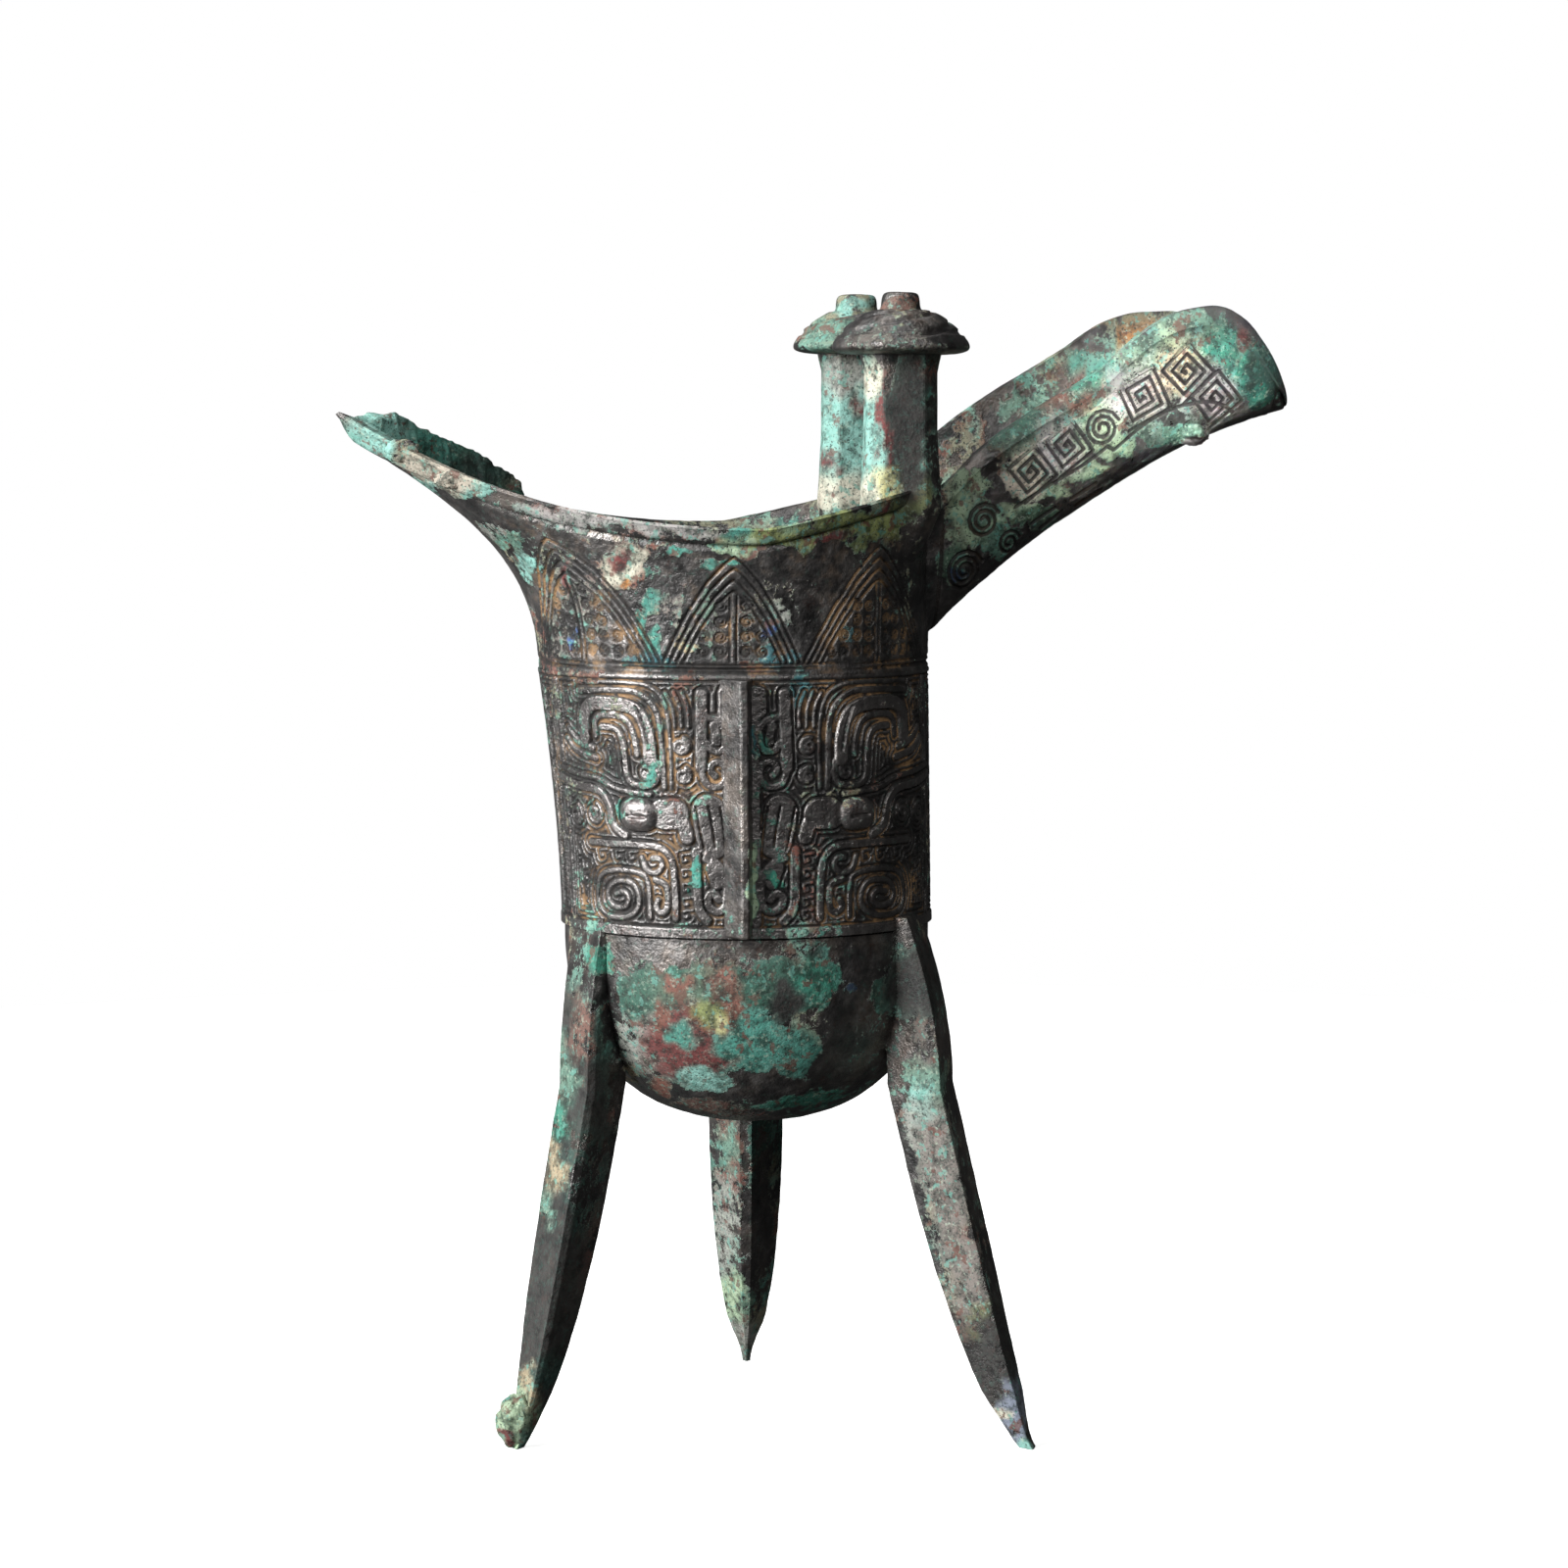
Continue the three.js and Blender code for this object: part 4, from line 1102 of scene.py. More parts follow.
def cap(name, x, y, cap_radius, knob, top):
    """A mushroom cap, spun from its half section."""
    profile = [
        (0, 0),
        (cap_radius - 3.5, 0),
        (cap_radius - 0.5, 0.5),
        (cap_radius, 1.4),
        (cap_radius - 0.9, 3),
        (cap_radius - 2.6, 4.9),
        (cap_radius - 5.0, 6.6),
        (knob + 1.3, 7.5),
        (knob + 0.1, 7.3),
        (knob, 9.6),
        (knob * 0.8, CAP_HEIGHT),
        (0, CAP_HEIGHT),
    ]
    profile = rounded(profile, 3)
    swings = np.linspace(0, 2 * math.pi, 180, endpoint=False)
    rings = []
    for r, z in profile[1:-1]:
        # Four curling lines turn round the dome, with a ring inside the edge.
        dome = smooth((z - 2.2) / 0.8)
        dome *= smooth((cap_radius - r - 0.5) / 0.6) * smooth((r - knob - 0.9) / 0.5)
        phase = np.mod(CURLS * swings / (2 * math.pi) + 0.32 * (r - knob), 1)
        curl = CURL_DEPTH * dome * smooth((0.2 - np.abs(phase - 0.5)) / 0.14)
        ring = RING_DEPTH * smooth((0.5 - abs(r - cap_radius + 1.6)) / 0.3) * smooth((z - 1.5) / 0.5)
        cut = curl + ring
        rings.append(points(x + (r - cut) * np.cos(swings), y + (r - cut) * np.sin(swings), top + z - cut))
    piece = ring_loft(f"cap_{name}", rings, (x, y, top), (x, y, top + CAP_HEIGHT), 60)
    weather(piece, UNEVEN)
    return piece


handle_out = heading(HANDLE["turn"])
handle_side = np.array([-handle_out[1], handle_out[0], 0])


def handle_point(out, side, z):
    """A point by the handle: out from the wall, to one side, and above the floor."""
    return np.array([0, 0, z]) + handle_out * (HANDLE["wall"] + out) + handle_side * side


# The strap's middle line: distance out from the wall, and height
HANDLE_PATH = [(-0.9, 123), (7, 126), (16, 123.5), (20.5, 114), (18.5, 102), (10, 94), (-0.9, 91)]


def handle():
    """The strap, flat on its inner side and bevelled on its outer one."""
    path = np.array(rounded(HANDLE_PATH, 3))
    along = np.gradient(path, axis=0)
    along /= np.linalg.norm(along, axis=1, keepdims=True)
    sections = []
    half, thick = HANDLE["width"] / 2, HANDLE["thick"] / 2
    right = [(half, -thick), (half, thick * 0.4), (half * 0.55, thick)]
    corners = [(-half, -thick)] + right + [(-half * 0.55, thick), (-half, thick * 0.4)]
    for (out, z), (du, dz) in zip(path, along):
        sections.append([handle_point(out - dz * lift, side, z + du * lift) for side, lift in corners])
    piece = draw_out("handle_strap", sections)
    add_modifier(piece, "BEVEL", width=0.0005, segments=2, angle_limit=math.radians(25))
    divide(piece, 1)
    weather(piece, UNEVEN)
    return piece


# The animal's head: distance out from the wall, height, half width and half height of each section
HEAD_STATIONS = [
    (3, 124, 5, 4),
    (6, 125.5, 7.4, 6),
    (11, 126, 7, 6.2),
    (16, 122.5, 5.2, 5.4),
    (20, 118.5, 5, 4.2),
    (22, 116.5, 3.6, 2.8),
]
# Its horns: distance out from the wall, distance from the middle, height and radius
HORN_STATIONS = [(9, 3.5, 130, 1.7), (8, 6.5, 132.5, 1.5), (6.5, 8.6, 134.5, 1.1), (5.5, 8.4, 137, 0.5)]


def swings_of(count):
    return [2 * math.pi * i / count for i in range(count)]


def handle_head():
    """The animal's head on the handle, its section a square with round corners, with horns and eyes."""
    sections = []
    for out, z, half, tall in HEAD_STATIONS:
        section = []
        for swing in swings_of(12):
            across = half * math.copysign(abs(math.cos(swing)) ** 0.7, math.cos(swing))
            section.append(handle_point(out, across, z + tall * math.sin(swing)))
        sections.append(section)
    head = draw_out("handle_head", sections)
    add_modifier(head, "SUBSURF", levels=3, render_levels=3)
    weather(head, 0.15)
    pieces = [head]
    for side in (-1, 1):
        which = "left" if side < 0 else "right"
        sections = []
        for out, across, z, radius in HORN_STATIONS:
            section = []
            for swing in swings_of(10):
                outer = out + radius * math.cos(swing)
                section.append(handle_point(outer, side * (across + radius * math.sin(swing)), z))
            sections.append(section)
        horn = draw_out(f"handle_horn_{which}", sections, 60)
        add_modifier(horn, "SUBSURF", levels=2, render_levels=2)
        pieces.append(horn)
        seat = to_row(handle_point(15.5, side * 4.2, 126))
        clear_selection()
        bpy.ops.mesh.primitive_ico_sphere_add(subdivisions=4, radius=0.0019, location=seat)
        eye = bpy.context.object
        eye.name = eye.data.name = f"handle_eye_{which}"
        bpy.ops.object.transform_apply(location=True, rotation=True, scale=True)
        bpy.ops.object.shade_smooth()
        pieces.append(eye)
    return pieces


def flange():
    """The ridge that splits the front mask. Its foot lies 1 mm inside the wall."""
    run = run_at(FRONT)
    lift = np.array([-1, -1, FLANGE["proud"], FLANGE["proud"]])
    sections = []
    for z in np.linspace(BAND["bottom"] + 0.5, BAND["top"] - 0.5, 30):
        angles = angle_at(run + np.array(FLANGE["section"]))
        section = ring_point(angles, np.full(4, z), -BAND["proud"])
        step = ring_point(angles + 0.5, np.full(4, z), 0) - ring_point(angles - 0.5, np.full(4, z), 0)
        normal = np.cross(step, (0, 0, 1.0))
        normal /= np.linalg.norm(normal, axis=1, keepdims=True)
        if normal[0][1] > 0:
            normal = -normal
        sections.append(section + normal * lift[:, None])
    piece = draw_out("front_flange", sections)
    add_modifier(piece, "BEVEL", width=0.0003, segments=2, angle_limit=math.radians(40))
    divide(piece, 2)
    weather(piece, 0.14, fine=0.9)
    return piece


# Malachite that has grown along the back edge of the tail and ends in a broken step: its height over the
# rim, against the angle from the tail.
CRUST_HEIGHTS = [(3, 0.3), (7, 3.6), (11, 3.7), (17.5, 4.1), (25, 4.6), (28.3, 3.6), (35, 2.6)]


def tail_crust():
    """A rough ridge along the rim."""
    crust_height = height_through(CRUST_HEIGHTS)
    sections = []
    for angle in np.linspace(CRUST_HEIGHTS[0][0], CRUST_HEIGHTS[-1][0], 90):
        rise = float(crust_height(angle))
        # How far in from the rim's outer edge, and how far above it
        corners = [(2.6, -2), (0.7, -2), (0.1, rise * 0.5)]
        corners += [(0.6, rise), (2.2, rise * 0.95), (2.6, rise * 0.5)]
        section = [rim_point(360 - angle, inset) for inset, lift in corners]
        for place, (inset, lift) in zip(section, corners):
            place[..., 2] += lift
        sections.append(section)
    piece = draw_out("tail_crust", sections)
    divide(piece, 2)
    weather(piece, 0.9, coarse=2.2, fine=0.9)
    return piece


# Lumps of corrosion: name, centre, half sizes, how uneven, and the noise's seed
NODULES = [
    ("foot_nodule", (-41.3, -17.6, 4.9), (3.1, 2.6, 4.5), 0.12, 51),
    ("spout_nodule", (78.2, -2.2, 171.6), (3.0, 2.6, 2.0), 0.25, 53),
    ("tail_nodule_high", (-58.5, -6.6, 168.6), (2.7, 1.0, 2.0), 0.22, 55),
    ("tail_nodule_low", (-50.5, -12.2, 163.6), (3.4, 0.9, 1.4), 0.22, 57),
]

# The skins' numbers are the angles round the cup that they run between, and then the size of their
# grid's cells in millimetres, which is finest where the photo looks.
pieces = [cast_wall()]
weather(pieces[0], UNEVEN)
pieces.append(mask_band("mask_front_left", FRONT, 0, FRONT, 0.2, True))
pieces.append(mask_band("mask_front_right", FRONT, FRONT, 180, 0.2, True))
pieces.append(mask_band("mask_back", BACK, 180, 360, 0.4, False))
pieces.append(neck_skin("blades_front", FRONT, 0, 180, 0.22, FRONT_BLADES))
pieces.append(neck_skin("blades_back", BACK, 180, 360, 0.38, BACK_BLADES))
pieces.append(spout_skin("spout_coils_front", -1, 0.19))
pieces.append(spout_skin("spout_coils_back", 1, 0.35))
for name, sizes in LEGS.items():
    pieces.append(leg(name, **sizes))
for name, sizes in POSTS.items():
    x, y, top = sizes["x"], sizes["y"], sizes["top"]
    pieces.append(post(name, x, y, sizes["foot_x"], sizes["foot_y"], top))
    pieces.append(cap(name, x, y, sizes["cap"], sizes["knob"], top))
pieces.append(handle())
pieces += handle_head()
pieces.append(flange())
pieces.append(tail_crust())
for shape in NODULES:
    pieces.append(nodule(*shape))


def fit_in_box(piece):
    """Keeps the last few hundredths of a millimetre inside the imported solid's box."""
    places = np.empty(len(piece.data.vertices) * 3)
    piece.data.vertices.foreach_get("co", places)
    kept = np.clip(places.reshape(-1, 3), np.array(cad_box[0]), np.array(cad_box[1]))
    piece.data.vertices.foreach_set("co", kept.ravel())
    piece.data.update()


# The patina's colours, named for minerals and for what they look like. Two of them also serve for a painted
# highlight and painted shade.
MINERALS = {
    "malachite": "#2f7f6b",
    "deep_malachite": "#2b5a4b",
    "turquoise": "#43897b",
    "pale_turquoise": "#86b8ad",
    "grey_green": "#5f8272",
    "moss": "#4a6452",
    "dark_green": "#24433b",
    "leaf_green": "#9db394",
    "olive": "#8c965c",
    "straw": "#bdb986",
    "grey": "#8d8f88",
    "tin_white": "#c9c5b2",
    "worn_tin_and_highlight": "#9f9b98",
    "sand": "#a39478",
    "stone": "#77706a",
    "beige": "#a89f90",
    "umber": "#6a4c42",
    "cuprite": "#6b312f",
    "rust": "#74483b",
    "ochre": "#a06c38",
    "azurite": "#33508a",
    "night_blue": "#1e3450",
    "blue_grey": "#7c8494",
    "teal": "#2f646c",
    "soot_and_shade": "#282624",
    "peat": "#56504a",
}
# Where each patch of corrosion lies, and the few of painted highlight and painted shade, in millimetres
# from the cup's axis:
# x, y, z, half width, half height, colour, and how far it covers the metal. Later ones lie over earlier
# ones, and "bare" takes them off.
PATINA = [
    # lip and tail
    (-67, -1, 174, 1.8, 1.5, "umber", 0.8),
    (-63, -4, 169, 4.3, 2.2, "pale_turquoise", 0.85),
    (-55, -3, 163, 4.3, 1.5, "pale_turquoise", 0.7),
    (-54, -10, 166, 6.3, 2.8, "beige", 0.95),
    (-47, -14, 162, 2.6, 2.0, "pale_turquoise", 0.9),
    (-49.5, -12.5, 163.2, 3.6, 2.0, "beige", 0.95),
    (-41, -11, 153, 3.6, 2.0, "grey_green", 0.7),
    (-38, -10, 149, 2.7, 3.0, "pale_turquoise", 0.65),
    (-44, -9, 155, 3.3, 1.7, "grey", 0.6),
    (-62, 4, 173, 7.0, 4.0, "pale_turquoise", 1.0),
    (-53, 8, 169, 4.5, 4.0, "turquoise", 1.0),
    (-44, 13, 165, 8.0, 5.0, "dark_green", 1.0),
    (-37, 18, 159, 5.0, 3.0, "deep_malachite", 1.0),
    # painted highlight: the left of the lip, where the key light falls, in a pale tin colour
    (-29, -26, 158, 12.1, 1.9, "worn_tin_and_highlight", 0.8),
    (-15, -32, 156, 8.0, 1.6, "worn_tin_and_highlight", 0.75),
    # olive right of the lip
    (1, -34, 154, 8.8, 2.1, "olive", 0.9),
    (16, -28, 156, 9.7, 2.8, "olive", 0.9),
    (24, -24, 161, 5.6, 4.3, "olive", 0.85),
    (11, -31, 154, 3.2, 0.8, "cuprite", 0.8),
    (21, -27, 159, 1.0, 2.0, "cuprite", 0.7),
    (-2, -32, 152, 2.3, 1.0, "umber", 0.7),
    (-5, -34, 155, 2.2, 1.1, "turquoise", 0.8),
    (-6, -32, 153, 3.5, 1.3, "leaf_green", 0.7),
    # neck
    (-23, -25, 150, 3.9, 3.4, "tin_white", 0.95),
    (-24, -25, 151, 2.3, 1.9, "cuprite", 0.95),
    (-22, -25, 147, 1.0, 1.3, "ochre", 0.9),
    (-18, -26, 143, 1.6, 2.1, "turquoise", 0.95),
    (-20, -25, 140, 1.6, 2.3, "turquoise", 0.95),
    (-18, -26, 136, 1.5, 2.6, "turquoise", 0.9),
    (-21, -25, 141, 0.8, 1.3, "turquoise", 0.8),
    (-32, -17, 147, 1.6, 5.2, "grey", 0.75),
    (-32, -17, 148, 1.0, 4.1, "cuprite", 0.95),
    (-34, -14, 144, 1.8, 4.3, "stone", 0.7),
    (-33, -12, 137, 1.7, 3.3, "stone", 0.6),
    (-0, -30, 139, 1.5, 1.5, "azurite", 0.95),
    (-31, -16, 138, 0.7, 1.8, "azurite", 0.95),
    (-7, -32, 150, 2.9, 0.8, "turquoise", 0.9),
    (-14, -30, 152, 1.6, 0.5, "turquoise", 0.9),
    (-28, -20, 143, 4.2, 4.9, "stone", 0.55),
    (-11, -29, 146, 4.2, 3.6, "peat", 0.3),
    (-14, -28, 141, 2.6, 3.9, "stone", 0.5),
    (-9, -29, 141, 1.6, 5.5, "grey_green", 0.55),
    (3, -30, 141, 1.9, 2.6, "grey", 0.6),
    (-5, -30, 141, 4.8, 5.5, "peat", 0.45),
    (14, -27, 138, 2.3, 2.0, "teal", 0.6),
    (-13, -28, 137, 2.3, 1.3, "sand", 0.6),
    # post
    # painted shade: the near post's right faces, darkened as if in shadow
    (25.0, -22, 172, 4.0, 15.0, "soot_and_shade", 1.0),
    (20, 13, 173, 5.9, 11.4, "pale_turquoise", 0.95),
    (19, 12, 161, 6.6, 4.1, "tin_white", 0.95),
    (19, 13, 182, 5.2, 3.8, "grey", 0.85),
    (18.5, -22, 171, 2.6, 11.0, "pale_turquoise", 0.9),
    (18.5, -22, 180, 2.4, 3.4, "tin_white", 0.7),
    (18.5, -22, 161, 2.6, 3.4, "tin_white", 0.9),
    (20.8, -23, 171, 0.7, 12.0, "cuprite", 0.75),
    (22, 13, 176, 1.4, 2.4, "cuprite", 0.8),
    (17, 13, 167, 1.0, 1.4, "cuprite", 0.7),
    (21, -23, 162, 2.0, 2.6, "straw", 0.7),
    (16, 10, 190, 5.5, 2.4, "grey_green", 0.75),
    (21, 14, 194, 3.1, 1.7, "pale_turquoise", 0.85),
    (23, -21, 193, 3.0, 1.6, "umber", 0.8),
    (20, -28, 187, 6.5, 2.3, "peat", 0.5),
    (13, 10, 187, 3.4, 1.2, "grey_green", 0.6),
    (27, -30, 186, 4.2, 1.5, "peat", 0.5),
    # spout
    (49, -11, 172, 10.1, 5.0, "deep_malachite", 0.8),
    (61, -10, 179, 10.1, 5.7, "malachite", 0.85),
    (75, -8, 187, 10.2, 5.1, "grey_green", 0.85),
    (83, -7, 182, 6.8, 6.8, "malachite", 0.85),
    (71, 17, 190, 6.7, 2.3, "ochre", 0.9),
    (63, 16, 183, 7.0, 1.6, "turquoise", 0.85),
    (51, 16, 176, 5.2, 1.7, "grey_green", 0.8),
    (56, -11, 177, 5.7, 1.5, "rust", 0.8),
    (63, -9, 179, 4.1, 1.2, "rust", 0.75),
    (72, -9, 188, 3.4, 1.5, "leaf_green", 0.8),
    (86, -8, 187, 1.7, 2.7, "cuprite", 0.9),
    (90, -5, 181, 3.1, 5.8, "dark_green", 0.9),
    (90, -3, 177, 2.8, 2.1, "malachite", 0.85),
    (64, -5, 163, 9.0, 2.2, "moss", 0.35),
    (41, -10, 154.5, 4.0, 2.2, "leaf_green", 0.95),
    (46, -9, 158, 4.2, 1.8, "leaf_green", 1.0),
    (52, -9, 161.5, 4.2, 1.9, "leaf_green", 1.0),
    (58, -9, 165, 4.2, 1.9, "leaf_green", 1.0),
    (64, -8, 168.6, 4.2, 1.8, "leaf_green", 1.0),
    (70, -7, 171.5, 4.0, 1.6, "grey_green", 0.95),
    (77, -3, 171.5, 3.4, 1.7, "grey_green", 0.85),
    (47.4, -10, 165, 5.2, 5.2, "beige", 0.75),
    (53.8, -10, 169.4, 5.2, 5.0, "worn_tin_and_highlight", 0.75),
    (60.2, -9, 172.4, 4.4, 4.4, "leaf_green", 0.7),
    (67.2, -9, 177.9, 6.4, 6.0, "worn_tin_and_highlight", 0.85),
    (75, -8, 182, 5.0, 5.0, "sand", 0.8),
    (80.6, -7, 177.6, 5.4, 5.2, "worn_tin_and_highlight", 0.8),
    (37, -11, 158, 4.4, 8.4, "leaf_green", 0.75),
    (39, -10, 157, 2.7, 3.0, "grey_green", 0.8),
    (44, -7, 153, 3.7, 2.7, "grey_green", 0.8),
    (50, -6, 157, 4.4, 2.0, "moss", 0.75),
    (35, -10, 149, 3.4, 3.4, "moss", 0.7),
    (36, -9, 148, 1.7, 1.7, "night_blue", 0.8),
    (39, -12, 163, 3.0, 2.0, "leaf_green", 0.7),
    # bowl
    (-26, -16, 83, 3.0, 3.0, "malachite", 0.8),
    (-20, -21, 77, 3.3, 5.3, "deep_malachite", 0.85),
    (-19, -18, 68, 3.3, 5.3, "grey", 0.8),
    (-12, -26, 79, 6.9, 5.2, "moss", 0.95),
    (-1, -28, 80, 7.5, 3.9, "deep_malachite", 0.95),
    (-12, -23, 69, 7.9, 7.6, "cuprite", 0.95),
    (-2, -26, 70, 6.6, 5.9, "turquoise", 1),
    (9, -27, 80, 4.3, 4.4, "malachite", 1),
    (6, -25, 68, 4.4, 5.6, "turquoise", 1),
    (9, -27, 85, 2.3, 1.6, "dark_green", 0.8),
    (-14, -25, 81, 2.9, 2.3, "rust", 0.9),
    (-7, -27, 81, 2.6, 1.6, "rust", 0.85),
    (-17, -22, 74, 1.6, 3.3, "rust", 0.8),
    (-6, -27, 76, 2.3, 4.9, "rust", 0.8),
    (4, -28, 77, 3.4, 3.1, "soot_and_shade", 0.95),
    (0, -22, 62, 3.3, 3.1, "bare", 0),
    (-9, -26, 75, 2.8, 2.6, "olive", 1),
    (-7, -26, 73, 1.3, 1.6, "straw", 1),
    (-9, -20, 63, 5.3, 1.8, "pale_turquoise", 0.95),
    (-13, -24, 71, 2.3, 2.0, "turquoise", 0.9),
    (-7, -24, 66, 3.6, 1.3, "cuprite", 0.9),
    (-16, -14, 61, 2.3, 2.3, "rust", 0.9),
    (-7, -14, 57, 7.4, 1.3, "umber", 0.85),
    (7, -16, 58, 8.7, 1.3, "malachite", 0.9),
    (11, -17, 60, 4.3, 0.8, "malachite", 0.9),
    (21, -21, 78, 2.0, 4.0, "deep_malachite", 0.85),
    (15, -24, 79, 1.6, 1.3, "night_blue", 0.7),
    (-22, -15, 69, 1.3, 5.0, "grey", 0.6),
    (-21, -10, 63, 1.3, 2.7, "sand", 0.7),
    (-14, -25, 83, 1.6, 1.3, "malachite", 0.85),
    # legs
    (-38, -17, 22, 11.0, 24.0, "soot_and_shade", 0.85),
    (-33, -14, 55, 9.0, 26.0, "soot_and_shade", 0.9),
    (27, -19, 79, 6.0, 8.0, "soot_and_shade", 0.8),
    (-32, -10, 64, 1.5, 5.7, "grey_green", 0.8),
    (-34, -13, 47, 1.5, 4.7, "sand", 0.8),
    (-33, -11, 55, 1.2, 3.4, "malachite", 0.7),
    (-35, -13, 40, 1.3, 3.4, "grey_green", 0.6),
    (-41, -20, 5, 4.0, 6.4, "leaf_green", 0.95),
    (-39, -17, 11, 1.7, 3.0, "sand", 0.8),
    (-35, -17, 13, 3.4, 4.0, "dark_green", 0.7),
    (-39, -17, 1, 1.7, 3.4, "grey_green", 0.8),
    (-43, -19, 2, 1.3, 1.3, "cuprite", 0.7),
    (-29, -16, 46, 3.3, 10.0, "dark_green", 0.45),
    (-29, -15, 71, 1.7, 6.6, "umber", 0.6),
    (-0, 29, 43, 1.8, 5.4, "grey_green", 0.75),
    (0, 35, 27, 2.5, 10.9, "grey", 0.6),
    (4, 38, 4, 3.3, 6.2, "grey", 0.9),
    (2, 38, 14, 2.6, 5.5, "leaf_green", 0.7),
    (6, 31, 28, 2.9, 14.4, "soot_and_shade", 0.4),
    (29, -23, 62, 3.7, 5.7, "grey_green", 0.8),
    (27, -21, 57, 3.0, 5.0, "pale_turquoise", 0.8),
    (30, -22, 49, 4.0, 10.0, "stone", 0.75),
    (32, -24, 39, 3.3, 8.4, "stone", 0.75),
    (35, -25, 28, 3.4, 8.4, "stone", 0.75),
    (37, -27, 22, 2.3, 3.4, "olive", 0.7),
    (38, -27, 18, 2.4, 3.4, "turquoise", 0.7),
    (39, -27, 15, 3.4, 5.0, "peat", 0.7),
    (40, -27, 14, 7.0, 14.0, "soot_and_shade", 0.55),
    (43, -29, 7, 3.0, 5.7, "blue_grey", 0.7),
    (41, -28, 6, 1.0, 1.2, "tin_white", 1),
    (28, -22, 68, 2.3, 4.0, "peat", 0.6),
    (26, -19, 54, 1.3, 5.0, "grey", 0.6),
    (44, -29, 1, 2.0, 2.0, "pale_turquoise", 0.8),
    # band
    (-19, -24, 115, 1.6, 1.6, "turquoise", 0.8),
    (-11, -27, 99, 0.8, 3.6, "turquoise", 0.85),
    (-2, -29, 97, 0.7, 7.5, "leaf_green", 0.8),
    (-19, -25, 134, 4.2, 1.5, "teal", 0.7),
    (6, -29, 129, 1.9, 3.2, "teal", 0.85),
    (-0, -30, 120, 1.1, 2.1, "turquoise", 0.9),
    (2, -30, 98, 1.0, 1.6, "malachite", 0.8),
    (-23, -23, 109, 1.1, 2.3, "turquoise", 0.9),
    (-13, -28, 130, 3.2, 1.6, "umber", 0.6),
    (-30, -16, 131, 3.0, 2.0, "umber", 0.6),
    (-2, -30, 133, 2.3, 1.3, "rust", 0.7),
    (-2, -29, 120, 0.6, 3.6, "teal", 0.7),
    (3, -30, 135, 4.8, 1.6, "teal", 0.6),
]


def linear(hex_colour):
    channels = [int(hex_colour[i : i + 2], 16) / 255 for i in (1, 3, 5)]
    return tuple(c / 12.92 if c <= 0.04045 else ((c + 0.055) / 1.055) ** 2.4 for c in channels) + (1,)


# Thin corrosion that lies anywhere: its colour, how high the noise must rise before it shows, the size of
# its patches in millimetres, and the noise's seed. There is more of it on the unseen back.
WILD_COLOURS = [
    ("#3d6a5e", 0.15, 9.0, 71),
    ("#6b4238", 0.42, 7.0, 72),
    ("#6f9c8c", 0.45, 6.0, 73),
    ("#7c7a64", 0.4, 8.0, 74),
]
WILD_COVER = 0.55
# A patch fades from 0.6 of its half size out to 1.3 of it.
PATCH_END = 1.3
PATCH_FADE = 0.7
SPOUT_OCHRE = 0.1


def paint_patina_and_painted_light(piece, ground="#46564e", thickness=0.2):
    """Writes the patina's colour and cover at each point of a piece, a painted highlight and painted shade
    among them, and how much ochre its lines hold.
    """
    place = places_of(piece)
    warped = place.copy()
    for axis in range(3):
        warped[:, axis] += 1.5 * lattice_noise(place, 3.1, 11 + axis)
        warped[:, axis] += 0.7 * lattice_noise(place, 1.1, 21 + axis)
    colour = np.tile(np.array(linear(ground)[:3]), (len(place), 1))
    cover = thickness + 0.12 * lattice_noise(place, 13.0, 31)
    back = smooth(between(place[:, 1], 0, 14))
    for tone, level, size, seed in WILD_COLOURS:
        weight = smooth((lattice_noise(warped, size, seed) - level + 0.22 * back) / 0.2)[:, None]
        colour = mix(colour, np.array(linear(tone)[:3]), weight)
        cover = mix(cover, WILD_COVER, weight[:, 0] * mix(0.5, 1.0, back))
    for x, y, z, half_x, half_z, tone, patch_cover in PATINA:
        half_depth = 1.2 * max(half_x, half_z) + 3
        half = np.array([half_x, half_depth, half_z])
        near = (np.abs(warped - (x, y, z)) < half * PATCH_END).all(axis=1)
        if not near.any():
            continue
        reach = np.linalg.norm((warped[near] - (x, y, z)) / half, axis=1)
        weight = smooth((PATCH_END - reach) / PATCH_FADE)
        cover[near] = mix(cover[near], patch_cover, weight)
        if tone != "bare":
            colour[near] = mix(colour[near], np.array(linear(MINERALS[tone])[:3]), weight[:, None])
    tint = piece.data.attributes.new("patina", "FLOAT_COLOR", "POINT")
    opaque = np.column_stack([colour, np.ones(len(place))])
    tint.data.foreach_set("color", opaque.astype(np.float32).ravel())
    write_layer(piece, "patina_cover", cover)
    ochre = SPOUT_OCHRE if piece.name.startswith("spout") else 1.0
    write_layer(piece, "ochre", np.full(len(place), ochre))


def node(tree, kind, inputs=(), output=0, **settings):
    """Adds a node, sets its properties, fills its sockets with values or links, in order or by name, and
    gives back one of its outputs."""
    made = tree.nodes.new("ShaderNode" + kind)
    for name, value in settings.items():
        setattr(made, name, value)
    for name, value in inputs.items() if isinstance(inputs, dict) else enumerate(inputs):
        if isinstance(value, bpy.types.NodeSocket):
            tree.links.new(value, made.inputs[name])
        else:
            made.inputs[name].default_value = value
    return made.outputs[output]


def ramp_stops(ramp, stops):
    elements = ramp.elements
    while len(elements) < len(stops):
        elements.new(0.5)
    for element, (position, tone) in zip(elements, stops):
        element.position = position
        element.color = linear(tone)


